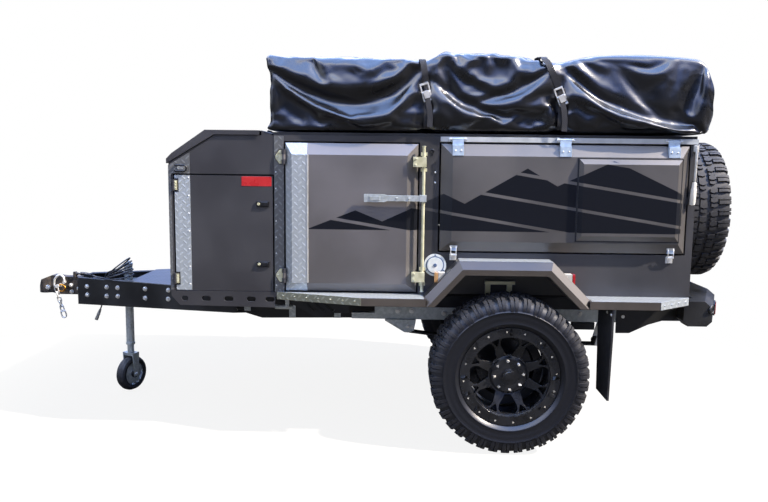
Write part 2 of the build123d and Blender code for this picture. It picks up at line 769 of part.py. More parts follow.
def hatch_rail():
    """The bright drip rail above the hatch, with the fixed knuckles and pins of its three hinges."""
    rail = block((hatch_front - 4, body_rear - 2), (-body_half_width - 4, -body_half_width), (hatch_top + 10, body_top))
    for x in strap_stations:
        rail += rod((x - 42, rail_pin_y, rail_pin_height), (x + 42, rail_pin_y, rail_pin_height), rail_pin_radius)
        for low in (x - 42, x + 28):
            rail += rod((low, rail_pin_y, rail_pin_height), (low + 14, rail_pin_y, rail_pin_height), rail_knuckle)
            rail += block((low, low + 14), (rail_pin_y, -body_half_width), (rail_pin_height, body_top))
    return rail


# Flare and steps, one folded sheet assembly
def flare_and_steps():
    outer = -body_half_width - flare_reach
    flare = side_plate(arch_outline(flare_rise, step_top - step_lip), (outer, -body_half_width))
    top_edges = flare.edges().filter_by_position(Axis.Y, outer, outer).filter_by(
        lambda e: e.center().Z > step_top - step_lip + 5).sort_by(Axis.Z)
    long_edges = [e for e in top_edges if e.center().Z > (step_top + arch_bottom_height) / 2]
    flare = chamfer(long_edges, flare_bevel)
    inner = arch_outline(flare_rise - sheet, step_top - step_lip - 10)
    hollow = side_plate(inner, (outer + flare_bevel + sheet, -body_half_width))
    flare -= hollow
    flare -= side_plate(arch_outline(0, step_top - step_lip - 10), (outer - 1, -body_half_width))
    shell = arch_outline(flare_rise - sheet, step_top)
    foot_front = shell[0][0]
    foot_rear = shell[-1][0]
    front_run = [(step_front_end, -body_half_width), (step_front_corner, outer), (foot_front, outer),
                 (foot_front, -body_half_width)]
    rear_run = [(foot_rear, -body_half_width), (foot_rear, outer), (step_rear_corner, outer),
                (step_rear_end, -body_half_width)]
    for run in (front_run, rear_run):
        flare += plan_plate(run, (step_top - sheet, step_top))
        for start, end in zip(run, run[1:]):
            if start[1] == end[1] == -body_half_width or start[0] == end[0]:
                continue
            run_line = Vector(end[0] - start[0], end[1] - start[1])
            inward = Vector(-run_line.Y, run_line.X).normalized() * sheet
            lip = [start, end, (end[0] + inward.X, end[1] + inward.Y), (start[0] + inward.X, start[1] + inward.Y)]
            flare += plan_plate(lip, (step_top - step_lip, step_top))
    outside = block((step_front_end - 10, step_rear_end + 10), (outer - 10, -body_half_width), (step_top - step_lip - 5, 1000))
    flare &= outside
    return flare


# Drawbar: two channel beams that run back to the rails, and a plate between them
drawbar_front = -2443.0
drawbar_bottom = 553.0
drawbar_bottom_rear = 596.0
drawbar_tip_half = 110.0
drawbar_slope = 0.363
drawbar_flange = 50.0
drawbar_wall = 6.0
drawbar_nose = 8.0
deck_front = -2094.0
deck_rear = -1690.0
deck_sheet = 4.0


def drawbar_strip(outer, inner, inset):
    """A left-hand strip beside the drawbar's outer face, between two distances inwards from it.

    Its underside rises towards the rear; inset lowers its top and raises its underside.
    """
    meet_outer = drawbar_front + (rail_inner - drawbar_tip_half + outer) / drawbar_slope
    meet_inner = drawbar_front + (rail_inner - drawbar_tip_half + inner) / drawbar_slope
    outline = [(drawbar_front, outer - drawbar_tip_half), (meet_outer, -rail_inner), (meet_inner, -rail_inner),
               (drawbar_front, inner - drawbar_tip_half)]
    side_view = [(drawbar_front, drawbar_bottom + inset), (meet_inner, drawbar_bottom_rear + inset),
                 (meet_inner, rail_top - inset), (drawbar_front, rail_top - inset)]
    return plan_plate(outline, (drawbar_bottom, rail_top)) & side_plate(side_view, (-rail_outer, 0))


def drawbar():
    beam = drawbar_strip(0, drawbar_flange, 0) - drawbar_strip(drawbar_wall, drawbar_flange + 1, drawbar_wall)
    frame = beam + on_right_side(beam)
    half = drawbar_tip_half
    frame += block((drawbar_front - drawbar_nose, drawbar_front), (-half, half), (drawbar_bottom, rail_top))
    return frame


def drawbar_half_at(x):
    """Half the drawbar's outer width at a station."""
    return drawbar_tip_half + drawbar_slope * (x - drawbar_front)


def drawbar_deck():
    outline = [(deck_front, -drawbar_half_at(deck_front)), (deck_rear, -drawbar_half_at(deck_rear)),
               (deck_rear, drawbar_half_at(deck_rear)), (deck_front, drawbar_half_at(deck_front))]
    return plan_plate(outline, (rail_top, rail_top + deck_sheet))


# Coupling: a cast head with a ball socket, bolted to a tongue
ball_radius = 25.0
ball_x = -2682.0
ball_height = 640.0
head_half_width = 42.0


shank_half_width = 30.0
shank_bottom = 596.0
shank_top = 704.0
head_bottom = 606.0
head_top = 712.0
lead_gland = (-2492.0, -30.0, 722.0)
gland_radius = 13.0
gland_length = 14.0


def coupling():
    """A cast head with a round nose and a ball socket, on a shank that carries the lead's gland."""
    seat = drawbar_front - drawbar_nose
    neck = ball_x + head_half_width
    profile = [(-front_reach, head_bottom + 22), (-front_reach + 24, head_top - 26), (neck, head_top),
               (neck + 70, shank_top), (seat, shank_top), (seat, shank_bottom), (neck + 50, shank_bottom),
               (neck, head_bottom), (-front_reach + 8, head_bottom)]
    plan = rod((ball_x, 0, shank_bottom), (ball_x, 0, head_top), front_reach + ball_x)
    plan += block((ball_x, seat), (-shank_half_width, shank_half_width), (shank_bottom, head_top))
    head = side_plate(profile, (-front_reach - ball_x, front_reach + ball_x)) & plan
    head -= Pos(ball_x, 0, ball_height) * Sphere(ball_radius)
    head -= rod((ball_x, 0, 560), (ball_x, 0, ball_height), ball_radius)
    x, y, z = lead_gland
    head += block((x - gland_length, x), (y - gland_radius, y + gland_radius), (shank_top - 6, z + gland_radius))
    return head


# Jockey wheel: a clamp between the beams holds the outer tube; the leg slides in it
jockey_x = -2185.0
jockey_tube_radius = 24.0
jockey_bore = 20.0
jockey_leg_radius = 19.6
jockey_tube_bottom = 285.0
jockey_tube_top = 790.0
jockey_leg_bottom = 236.0
jockey_leg_top = 640.0
jockey_wheel_radius = 105.0
jockey_wheel_width = 62.0
jockey_pin_radius = 8.0
jockey_pin_length = 16.0
jockey_turn = 65.0
clamp_bottom = 612.0
clamp_top = 672.0
clamp_depth = 60.0


def jockey_tube():
    tube = rod((jockey_x, 0, jockey_tube_bottom), (jockey_x, 0, jockey_tube_top), jockey_tube_radius)
    tube -= rod((jockey_x, 0, jockey_tube_bottom - 1), (jockey_x, 0, jockey_tube_top - 4), jockey_bore)
    return tube


def jockey_clamp():
    """A plate from beam to beam with a split collar round the tube."""
    half = drawbar_half_at(jockey_x) - drawbar_flange
    front = jockey_x - clamp_depth / 2
    outline = [(front, -drawbar_half_at(front) + drawbar_wall + 1), (front + clamp_depth, -drawbar_half_at(front) + drawbar_wall + 1),
               (front + clamp_depth, drawbar_half_at(front) - drawbar_wall - 1), (front, drawbar_half_at(front) - drawbar_wall - 1)]
    clamp = plan_plate(outline, (clamp_bottom, clamp_top))
    clamp -= rod((jockey_x, 0, clamp_bottom - 1), (jockey_x, 0, clamp_top + 1), jockey_tube_radius)
    return clamp


def jockey_leg():
    """The sliding inner tube, with a pin in its foot that the fork swivels on."""
    leg = rod((jockey_x, 0, jockey_leg_bottom), (jockey_x, 0, jockey_leg_top), jockey_leg_radius)
    return leg + rod((jockey_x, 0, jockey_leg_bottom - jockey_pin_length), (jockey_x, 0, jockey_leg_bottom), jockey_pin_radius)


def jockey_fork():
    """A bent-strip fork under the leg, with the wheel's pin through its cheeks."""
    inner = jockey_wheel_width / 2 + 5
    crown = jockey_wheel_radius * 2 + 8
    crown_top = jockey_leg_bottom - pin_clearance
    fork = block((-25, 25), (-inner - 6, inner + 6), (crown, crown_top))
    fork -= rod((0, 0, crown - 1), (0, 0, crown_top + 1), jockey_pin_radius + pin_clearance)
    for side in (-1, 1):
        y_range = tuple(sorted((side * inner, side * (inner + 6))))
        fork += side_plate([(-25, crown + 2), (-16, jockey_wheel_radius - 16), (16, jockey_wheel_radius - 16), (25, crown + 2)], y_range)
    fork += rod((0, -inner - 12, jockey_wheel_radius), (0, inner + 12, jockey_wheel_radius), jockey_pin_radius)
    return Pos(jockey_x, 0, 0) * Rot(0, 0, jockey_turn) * fork


def jockey_wheel():
    half = jockey_wheel_width / 2
    profile = [(jockey_pin_radius + pin_clearance, half + 2), (26, half + 2), (26, 12), (70, 12), (70, half - 4), (88, half),
               (98, half - 6), (jockey_wheel_radius, 8)]
    outline = profile + [(r, -z) for r, z in reversed(profile)]
    face = make_face(Polyline(*[(r, 0, z) for r, z in outline], close=True))
    wheel = revolve(face, axis=Axis.Z)
    return Pos(jockey_x, 0, jockey_wheel_radius) * Rot(0, 0, jockey_turn) * Rot(90, 0, 0) * wheel


# Water tank in its stone guard, between the rails
tank_half_width = 390.0


def belly_tank():
    outline = [(-1487, rail_top), (-1487, 604), (-1298, 548), (-533, 561), (-490, 610), (-490, rail_top)]
    return side_plate(outline, (-tank_half_width, tank_half_width))


# Rear: bumper, mud flaps, tail door, spare wheel
bumper_half_width = 700.0
bumper_straight_half = 300.0
bumper_rear = 1222.0
bumper_end = 1045.0
bumper_bottom = 563.0
bumper_end_bottom = 605.0
bumper_return_front = 900.0
bumper_return_inner = 610.0
bumper_folds = [(bumper_bottom, 70.0), (630.0, 0.0), (700.0, 0.0), (bumper_top, 42.0)]
flap_front = 479.0
flap_thickness = 10.0


def bumper_section(height, inset):
    """The bumper seen from above at one height, with its rear and slanted faces drawn in by inset."""
    half = [(rail_rear, 0), (rail_rear, bumper_return_inner), (bumper_return_front, bumper_return_inner),
            (bumper_return_front, bumper_half_width), (bumper_end - inset, bumper_half_width),
            (bumper_rear - inset, bumper_straight_half)]
    points = half[1:] + [(x, -y) for x, y in reversed(half[1:])]
    return make_face(Polyline(*[(x, y, height) for x, y in points], close=True))


def rear_bumper():
    """A folded bumper behind the rails: swept back at its ends, which rise and return forward beside the rails."""
    outline = [(bumper_return_front, 634), (bumper_return_front, bumper_top - 18), (bumper_return_front + 33, bumper_top),
               (bumper_rear, bumper_top), (bumper_rear, bumper_bottom), (rail_rear + 37, bumper_bottom), (925, 604)]
    front = [(-bumper_half_width, bumper_end_bottom), (-bumper_straight_half, bumper_bottom),
             (bumper_straight_half, bumper_bottom), (bumper_half_width, bumper_end_bottom),
             (bumper_half_width, bumper_top), (-bumper_half_width, bumper_top)]
    folded = loft([bumper_section(*fold) for fold in bumper_folds], ruled=True)
    folded &= side_plate(outline, (-bumper_half_width, bumper_half_width))
    return folded & end_plate(front, (bumper_return_front, bumper_rear))


def mud_flap():
    """A rubber flap behind the tyre, held under the floor and under the step."""
    outline = [(-690, 270), (-890, 270), (-912, 600), (-912, step_top - sheet), (-body_half_width, step_top - sheet),
               (-body_half_width, body_bottom), (-667, body_bottom), (-667, 600)]
    return end_plate(outline, (flap_front, flap_front + flap_thickness))


tail_gap = 8.0
tail_half = body_half_width - wall - frame_post - tail_gap
tail_bottom = floor_top + frame_bar + tail_gap
tail_top = roof_bottom - frame_bar - tail_gap
tail_pin = (body_rear + 16.0, tail_half + 14.0)
tail_hinge_heights = [880.0, 1400.0]
carrier_tube_radius = 45.0


def tail_hinges():
    depth = tail_pin[0] - body_rear
    return [hinge((*tail_pin, z), (0, -1, 0), (-1, 0, 0), 90, 10, 22, depth) for z in tail_hinge_heights]


def tail_door():
    """The rear door, hung on its right edge, with a bevelled panel standing out of it."""
    slab = block((body_rear - wall, body_rear), (-tail_half, tail_half), (tail_bottom, tail_top))
    sections = []
    for x, inset in ((body_rear, 4.0), (body_rear + pan_rise, 54.0)):
        outline = [(-tail_half + inset, tail_bottom + inset), (tail_half - inset, tail_bottom + inset),
                   (tail_half - inset, tail_top - inset), (-tail_half + inset, tail_top - inset)]
        sections.append(make_face(Polyline(*[(x, y, z) for y, z in outline], close=True)))
    door = slab + loft(sections, ruled=True)
    for fixed, moving in tail_hinges():
        door += moving
    return door


def spare_carrier():
    """A tube on a braced plate, with a flange that the spare wheel bolts to."""
    root_x = body_rear + pan_rise
    seat_x = spare_plane + disc_back
    carrier = block((root_x, root_x + 8), (-170, 170), (spare_height - 190, spare_height + 190))
    carrier += rod((root_x, 0, spare_height), (seat_x, 0, spare_height), carrier_tube_radius)
    carrier += rod((seat_x - 10, 0, spare_height), (seat_x, 0, spare_height), hub_face_radius)
    for side in (-1, 1):
        y_range = tuple(sorted((side * 8, side * 14)))
        carrier += side_plate([(root_x + 8, spare_height - 180), (root_x + 8, spare_height), (seat_x - 60, spare_height),
                               (seat_x - 60, spare_height - 30)], y_range)
    return carrier


# Roof tent in its cover, on a flat base
tent_half_width = body_half_width - 5.0
tent_base_thickness = 14.0
cover_top = 1965.0
cover_half_width = body_half_width + 20.0
cover_bulge_front = 33.0
cover_bulge_rear = 60.0
cover_sections = [(-cover_half_width, 45.0, 130.0, 60.0), (-cover_half_width + 28, 12.0, 35.0, 0.0),
                  (-cover_half_width + 110, 0.0, 8.0, 0.0), (cover_half_width - 110, 0.0, 8.0, 0.0),
                  (cover_half_width - 28, 12.0, 35.0, 0.0), (cover_half_width, 45.0, 130.0, 60.0)]
strap_dips = [-442.0, 202.0]
strap_dip = 40.0


def tent_base():
    return block((tent_front, tent_rear), (-tent_half_width, tent_half_width), (body_top, body_top + tent_base_thickness))


def cover_section(y, inset, drop, lift):
    """The cover's outline across one station: three humps with a dip at each strap, bulging at both ends.

    inset draws its ends in, drop lowers its top and lift raises its bottom edge.
    """
    bottom = body_top + tent_base_thickness + lift
    front, rear = tent_front - cover_bulge_front + inset, tent_rear + cover_bulge_rear - inset
    middle = (body_top + cover_top) / 2 - 30
    top = cover_top - drop
    dip = top - strap_dip
    front_top, rear_top = front + 33, rear - 32
    front_strap, rear_strap = strap_dips
    edges = [Line((front + 38, y, bottom), (rear - 52, y, bottom)),
             ThreePointArc((rear - 52, y, bottom), (rear, y, middle), (rear_top, y, dip)),
             ThreePointArc((rear_top, y, dip), ((rear_top + rear_strap) / 2, y, top), (rear_strap, y, dip)),
             ThreePointArc((rear_strap, y, dip), ((front_strap + rear_strap) / 2, y, top - 4), (front_strap, y, dip)),
             Line((front_strap, y, dip), (front_top, y, dip)),
             ThreePointArc((front_top, y, dip), (front, y, middle), (front + 38, y, bottom))]
    return make_face(Wire(edges))


def tent_cover():
    return loft([cover_section(*row) for row in cover_sections], ruled=True)


# Lamps and filler cap
filler_place = (-366.0, 913.0)
marker_ranges = [(-372.0, -314.0), (254.0, 314.0)]
marker_heights = (828.0, 886.0)
marker_depths = (-body_half_width - 64, -body_half_width - 22)
tail_lamp = (130.0, 60.0, 12.0)


def lamps():
    """A marker lamp on each slope of both flares, and a lamp on each slanted end of the bumper."""
    flare_solid = side_plate(arch_outline(flare_rise, step_top), (-body_half_width - flare_reach, -body_half_width))
    solids = []
    for x_range in marker_ranges:
        marker = block(x_range, marker_depths, marker_heights) - flare_solid
        solids += marker.solids()
    face = Vector(bumper_rear - bumper_end, bumper_half_width - bumper_straight_half, 0)
    middle = Vector((bumper_rear + bumper_end) / 2, -(bumper_half_width + bumper_straight_half) / 2, 665.0)
    place = Plane(origin=middle, x_dir=face, z_dir=(face.Y, -face.X, 0))
    solids += (place * Pos(0, 0, tail_lamp[2] / 2) * Box(*tail_lamp)).solids()
    return on_both_sides(Compound(solids))


def filler_cap():
    x, z = filler_place
    cap = rod((x, -body_half_width, z), (x, -body_half_width - 12, z), 55.0)
    return cap + rod((x, -body_half_width - 12, z), (x, -body_half_width - 18, z), 38.0)


# Lead of the trailer's lights: curly from its gland, then straight to a loose coil on the drawbar, and from there
# down inside the drawbar to its plug
lead_radius = 4.0
curl_radius = 9.0
curly_route = [(-2492, -30, 722), (-2462, -30, 722), (-2424, -52, 722.5), (-2386, -84, 722), (-2350, -108, 721.5)]
straight_route = [(-2350, -108, 721.5), (-2326, -121, 718.5), (-2298, -132, 716.5), (-2270.5, -142, 716.5)]
tail_route = [(-2260, -106, 720), (-2281, -96, 711), (-2297, -91, 688), (-2306, -90, 654), (-2309, -91, 617),
              (-2310, -90, 580), (-2316, -91, 546), (-2330, -92, 512)]
coil_radius = 78.0
coil_low_point = (-2262.0, -147.0)
coil_height = 108.0
coil_steps = 20
plug_radius = 10.0
plug_length = 62.0


def lead_tube(route, radius):
    """A tube along straight runs joined by arcs as large as the runs allow."""
    corners = [Vector(*point) for point in route]
    radii = []
    for before, here, after in zip(corners, corners[1:], corners[2:]):
        shorter = min((here - before).length, (after - here).length)
        turn = (here - before).get_angle(after - here)
        radii.append(0.45 * shorter / tan(radians(turn) / 2))
    print("bend radii", [round(r) for r in radii])
    path = FilletPolyline(*corners, radius=radii)
    start = Plane(origin=path @ 0, z_dir=path % 0)
    tube = sweep(start * RegularPolygon(radius, 10), path=path)
    print("volume over section times length", round(tube.volume / (RegularPolygon(radius, 10).area * path.length), 3))
    return tube


def trailer_lead():
    lead = lead_tube(curly_route, curl_radius) + lead_tube(straight_route, lead_radius)
    return Compound([*lead.solids(), *lead_tube(tail_route, lead_radius).solids()])


def lead_coil():
    """The outer shape of the coil: its turns fan out upwards from the low point on the drawbar's beam."""
    low_x, low_y = coil_low_point
    outer = coil_radius + 2 * lead_radius
    centre_x = low_x + coil_radius
    disc = Pos(centre_x, low_y, rail_top) * extrude(RegularPolygon(outer, coil_steps), amount=coil_height + 10)
    side_view = [(centre_x - outer, rail_top + pin_clearance), (centre_x + outer, rail_top + pin_clearance),
                 (centre_x + outer, rail_top + 60), (centre_x + outer / 2, rail_top + coil_height + 10),
                 (centre_x + 10, rail_top + coil_height), (centre_x - outer, rail_top + 14)]
    return disc & side_plate(side_view, (low_y - outer, low_y + outer))


def lead_plug():
    """The plug, in line with the lead's last run."""
    end = Vector(*tail_route[-1])
    run = end - Vector(*tail_route[-2])
    return rod(tuple(end), tuple(end + run.normalized() * plug_length), plug_radius)


write("chassis_rails", chassis_rails())
write("cross_bearers", cross_bearers())
write("axle_rails", axle_rails())
write("drawbar", drawbar())
write("drawbar_deck", drawbar_deck())
write("coupling", coupling())
write("jockey_clamp", jockey_clamp())
write("jockey_tube", jockey_tube())
write("jockey_leg", jockey_leg())
write("jockey_fork", jockey_fork())
write("jockey_wheel", jockey_wheel())
write("leaf_springs", on_both_sides(leaf_spring()))
write("spring_shackles", on_both_sides(shackle()))
write("axle_beam", axle_beam())
write("shock_absorbers", on_both_sides(shock_pair()))
write("belly_tank", belly_tank())
write("floor_pan", floor_pan())
write("roof_panel", roof_panel())
write("rear_frame", rear_frame())
write("bulkhead", bulkhead())
write("nose_box", nose_box())
write("nose_lid", nose_lid())
write("stone_guard", stone_guard())
write("rear_bumper", rear_bumper())
write("mud_flaps", on_both_sides(mud_flap()))
write("tail_door", tail_door())
write("spare_carrier", spare_carrier())
write("spare_rim", spare_place * rim(False))
write("spare_tyre", spare_place * tyre())
write("tent_base", tent_base())
write("tent_cover", tent_cover())
write("filler_cap", filler_cap())
write("lamps", lamps())
write("trailer_lead", trailer_lead())
write("lead_coil", lead_coil())
write("lead_plug", lead_plug())

# What stands on both sides: each is drawn on the left and mirrored for the right
paired_pieces = {
    "side_panel": side_panel(),
    "flare": flare_and_steps(),
    "side_door": side_door(),
    "door_fold": door_fold(),
    "door_lock": door_lock(),
    "hatch": hatch(),
    "hatch_hinges": hatch_fittings(),
    "hatch_rail": hatch_rail(),
    "nose_door": nose_door(),
    "nose_fold": nose_fold(),
    "road_tyre": left_wheel_place * tyre(),
    "road_rim": left_wheel_place * rim(True),
}
for name, piece in paired_pieces.items():
    write(f"{name}_left", piece)
    write(f"{name}_right", on_right_side(piece))
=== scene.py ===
import math

import bmesh
import bpy
from mathutils import Matrix, Vector, noise


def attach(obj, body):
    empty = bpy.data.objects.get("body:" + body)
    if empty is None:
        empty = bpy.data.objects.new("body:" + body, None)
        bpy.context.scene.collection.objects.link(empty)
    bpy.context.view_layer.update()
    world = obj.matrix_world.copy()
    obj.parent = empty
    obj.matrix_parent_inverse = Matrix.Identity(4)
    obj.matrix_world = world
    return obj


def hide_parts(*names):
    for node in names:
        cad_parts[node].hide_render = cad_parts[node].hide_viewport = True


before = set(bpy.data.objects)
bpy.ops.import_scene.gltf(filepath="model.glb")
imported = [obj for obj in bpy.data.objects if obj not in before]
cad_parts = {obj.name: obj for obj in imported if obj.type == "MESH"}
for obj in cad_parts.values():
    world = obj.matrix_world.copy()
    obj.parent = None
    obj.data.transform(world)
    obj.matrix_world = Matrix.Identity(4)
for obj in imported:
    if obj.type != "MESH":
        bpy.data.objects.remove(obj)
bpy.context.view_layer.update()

# Camera: the eye of a person who stands a few paces from the left side, a little above the wheel, and looks
# slightly down at it. It comes first because the cords are measured against what it sees.
camera_lens = bpy.data.cameras.new("camera")
camera_lens.lens = 34.39
camera_lens.sensor_width = 36.0
camera_lens.sensor_fit = "HORIZONTAL"
camera = bpy.data.objects.new("camera", camera_lens)
camera_turn, camera_dip, camera_roll = 0.0193, 0.1217, 0.0116
camera.matrix_world = (Matrix.Translation((0.1855, -4.377, 1.4186)) @ Matrix.Rotation(camera_turn, 4, "Z")
                       @ Matrix.Rotation(math.pi / 2 - camera_dip, 4, "X")
                       @ Matrix.Rotation(camera_roll, 4, "Z"))
bpy.context.scene.collection.objects.link(camera)
bpy.context.scene.camera = camera


# Lead of the trailer's lights: a limp cable of black PVC, curly behind its gland, loosely coiled on the
# drawbar's left beam and hung down to its plug. Its length comes from its own turns. Sizes are in millimetres
# about the axle, as in a drawing of the trailer, and are turned to the frame's metres here.
axle_to_origin = 734.5
to_frame = Matrix.Scale(0.001, 4) @ Matrix.Translation((axle_to_origin, 0, 0))
left, right = -1, 1


def linear(hex_colour):
    """A paint chart's colour as linear light, with its alpha."""
    channels = [int(hex_colour[k:k + 2], 16) / 255 for k in (1, 3, 5)]
    return [c / 12.92 if c <= 0.04045 else ((c + 0.055) / 1.055) ** 2.4 for c in channels] + [1.0]


def set_inputs(tree, node, inputs):
    """Gives a node's inputs their values, or links them where another node's output is given."""
    for socket, value in inputs.items():
        if isinstance(value, bpy.types.NodeSocket):
            tree.links.new(value, node.inputs[socket])
        else:
            node.inputs[socket].default_value = value


def add_node(tree, kind, inputs=None, **settings):
    """A node with its settings, its values and its links."""
    node = tree.nodes.new(kind)
    for name, value in settings.items():
        setattr(node, name, value)
    set_inputs(tree, node, inputs or {})
    return node


def mix_colours(tree, share, first, second):
    """A colour between two others."""
    return add_node(tree, "ShaderNodeMix", {0: share, 6: first, 7: second}, data_type="RGBA")


def new_finish(name):
    """An empty finish: the material, its node tree, its shader and the piece's own place in metres."""
    finish = bpy.data.materials.new(name)
    finish.use_nodes = True
    tree = finish.node_tree
    tree.nodes.clear()
    shader = add_node(tree, "ShaderNodeBsdfPrincipled")
    add_node(tree, "ShaderNodeOutputMaterial", {"Surface": shader.outputs["BSDF"]})
    return finish, tree, shader, add_node(tree, "ShaderNodeTexCoord").outputs["Object"]


def weathered(name, colours, roughness, grain, patch_mm=160.0, metallic=0.0, edge_mm=1.2, coat=0.0):
    """A finish that varies between two colours and two roughnesses in soft patches, with a fine relief.

    grain is the relief's (size, depth) in millimetres, and edge_mm rounds the look of sheet edges.
    """
    finish, tree, shader, spot = new_finish(name)
    patches = add_node(tree, "ShaderNodeTexNoise", {"Vector": spot, "Scale": 1000 / patch_mm, "Detail": 5.0})
    spread = add_node(tree, "ShaderNodeMapRange", {0: patches.outputs["Fac"], 1: 0.35, 2: 0.65})
    tone = mix_colours(tree, spread.outputs[0], linear(colours[0]), linear(colours[1]))
    sheen = add_node(tree, "ShaderNodeMapRange", {0: spread.outputs[0], 3: roughness[0], 4: roughness[1]})
    relief = add_node(tree, "ShaderNodeTexNoise", {"Vector": spot, "Scale": 1000 / grain[0], "Detail": 3.0})
    edge = add_node(tree, "ShaderNodeBevel", {"Radius": edge_mm / 1000}, samples=4)
    bump = add_node(tree, "ShaderNodeBump", {"Height": relief.outputs["Fac"], "Distance": grain[1] / 1000,
                                             "Normal": edge.outputs[0]})
    set_inputs(tree, shader, {"Base Color": tone.outputs[2], "Roughness": sheen.outputs[0],
                              "Normal": bump.outputs[0], "Metallic": metallic, "Coat Weight": coat})
    return finish


def set_down(name, data, body, finish, stand=None):
    """Puts a mesh or curve in the scene as a piece that rides on a body, at the place where it stands."""
    data.materials.append(finish)
    piece = bpy.data.objects.new(name, data)
    if stand:
        piece.matrix_world = stand
    bpy.context.scene.collection.objects.link(piece)
    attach(piece, body)
    return piece


def set_mesh(name, work, body, finish, sharp=40.0, bevel_mm=0.0, place=to_frame, stand=None):
    """Turns work in millimetres into a piece, with smooth shading up to an angle and its edges broken."""
    bmesh.ops.remove_doubles(work, verts=work.verts, dist=0.01)
    bmesh.ops.recalc_face_normals(work, faces=work.faces)
    work.transform(place)
    mesh = bpy.data.meshes.new(name)
    work.to_mesh(mesh)
    work.free()
    mesh.shade_smooth()
    mesh.set_sharp_from_angle(angle=math.radians(sharp))
    piece = set_down(name, mesh, body, finish, stand)
    if bevel_mm:
        edge = piece.modifiers.new("edge", "BEVEL")
        edge.width = bevel_mm / 1000
        edge.segments = 2
        edge.limit_method = "ANGLE"
        edge.angle_limit = math.radians(35)
        edge.harden_normals = True
    return piece


def add_turned(work, start, axis, profile, sides=24):
    """A turned form: profile is a line of (radius, distance along the axis), closed where the radius is 0."""
    turn = Vector(axis).normalized().to_track_quat("Z", "Y").to_matrix().to_4x4()
    place = Matrix.Translation(start) @ turn
    rows = []
    for radius, along in profile:
        if radius == 0:
            rows.append([work.verts.new(place @ Vector((0, 0, along)))])
            continue
        row = []
        for k in range(sides):
            angle = 2 * math.pi * k / sides
            row.append(work.verts.new(place @ Vector((radius * math.cos(angle), radius * math.sin(angle),
                                                      along))))
        rows.append(row)
    for low, high in zip(rows, rows[1:]):
        for k in range(sides):
            corners = [low[k % len(low)], low[(k + 1) % len(low)], high[(k + 1) % len(high)],
                       high[k % len(high)]]
            corners = [c for n, c in enumerate(corners) if c not in corners[:n]]
            if len(corners) > 2:
                work.faces.new(corners)


cable_radius = 4.0
cable_black = weathered("soft_black_pvc_cable", ("#141416", "#1d1e21"), (0.32, 0.48), (1.5, 0.05),
                        patch_mm=30.0, edge_mm=0.3)
gland_point = (-2492, -30, 722)
curly_route = [gland_point, (-2462, -30, 724), (-2424, -52, 725), (-2386, -84, 725), (-2350, -108, 722)]
helix_radius, helix_pitch = 7.3, 10.6
lead_in = 20.0


def route_curve(name, points):
    """A NURBS line through its control points, in the frame's metres."""
    curve = bpy.data.curves.new(name, "CURVE")
    curve.dimensions = "3D"
    spline = curve.splines.new("NURBS")
    spline.points.add(len(points) - 1)
    for spot, point in zip(spline.points, points):
        spot.co = (*(to_frame @ Vector(point)), 1.0)
    spline.order_u = 3
    spline.use_endpoint_u = True
    spline.resolution_u = 8
    return curve


def read_line(curve):
    """The points of a NURBS line as it is drawn, in millimetres about the axle."""
    probe = bpy.data.objects.new(curve.name + "_probe", curve)
    mesh = bpy.data.meshes.new_from_object(probe)
    points = [to_frame.inverted() @ v.co for v in mesh.vertices]
    bpy.data.meshes.remove(mesh)
    bpy.data.objects.remove(probe)
    return points


def along_line(line, distance):
    """The point and the direction at a distance along a line of points."""
    for start, end in zip(line, line[1:]):
        step = (end - start).length
        if distance <= step:
            return start.lerp(end, distance / step), (end - start).normalized()
        distance -= step
    return line[-1].copy(), (line[-1] - line[-2]).normalized()


curly_line = read_line(route_curve("curly_axis", curly_route))
curly_length = sum((b - a).length for a, b in zip(curly_line, curly_line[1:]))
helix_length = curly_length - 2 * lead_in
helix_turns = int(helix_length / helix_pitch)
steps_per_turn = 12
lead_points = [Vector(curly_route[0]), along_line(curly_line, lead_in * 0.6)[0]]
for k in range(helix_turns * steps_per_turn + 1):
    share = k / (helix_turns * steps_per_turn)
    centre, heading = along_line(curly_line, lead_in + share * helix_length)
    across = heading.cross(Vector((0, 0, 1))).normalized()
    rise = across.cross(heading)
    grown = helix_radius * min(1.0, helix_turns * share + 0.1, helix_turns * (1 - share) + 0.1)
    angle = 2 * math.pi * k / steps_per_turn
    lead_points.append(centre + grown * (math.cos(angle) * rise + math.sin(angle) * across))
lead_points += [Vector(p) for p in [(-2338, -115, 720), (-2318, -125, 717.5), (-2298, -134, 716.5),
                                    (-2278, -146, 716.5), (-2264, -162, 716.5)]]

coil_radii = [78.0, 77.0, 75.0, 76.0, 73.0]
coil_low = Vector((-2262, -147, 716.5))
coil_stack = Vector((5.6, 0, 6.4))
coil_tilt = math.radians(43)
coil_steps = 16
coil_join, coil_leave = 2, 14
coil_last = (len(coil_radii) - 1) * coil_steps + coil_leave
drop_end, plug_end = Vector((-2316, -91, 546)), Vector((-2330, -92, 512))
for k in range(coil_join, coil_last + 1):
    turn, phase = k / coil_steps, 2 * math.pi * k / coil_steps
    radius = coil_radii[min(int(turn), len(coil_radii) - 1)]
    tilt = coil_tilt * (turn / len(coil_radii)) ** 0.8
    slope = Vector((math.cos(tilt), 0, math.sin(tilt)))
    low = coil_low + coil_stack * turn
    lead_points.append(low + radius * (1 - math.cos(phase)) * slope
                       + Vector((0, -radius * math.sin(phase), 0)))
lead_points += [Vector(p) for p in [(-2256, -95, 752), (-2277, -93, 742), (-2292, -92, 722),
                                    (-2300, -91, 694), (-2306, -90, 654), (-2309, -91, 617),
                                    (-2310, -90, 580), drop_end, plug_end]]
lead_curve = route_curve("trailer_light_lead", lead_points)
lead_curve.bevel_depth = cable_radius / 1000
lead_curve.bevel_resolution = 3
lead_curve.use_fill_caps = True
light_lead = set_down("trailer_light_lead", lead_curve, "chassis", cable_black)
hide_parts("trailer_lead", "lead_coil")

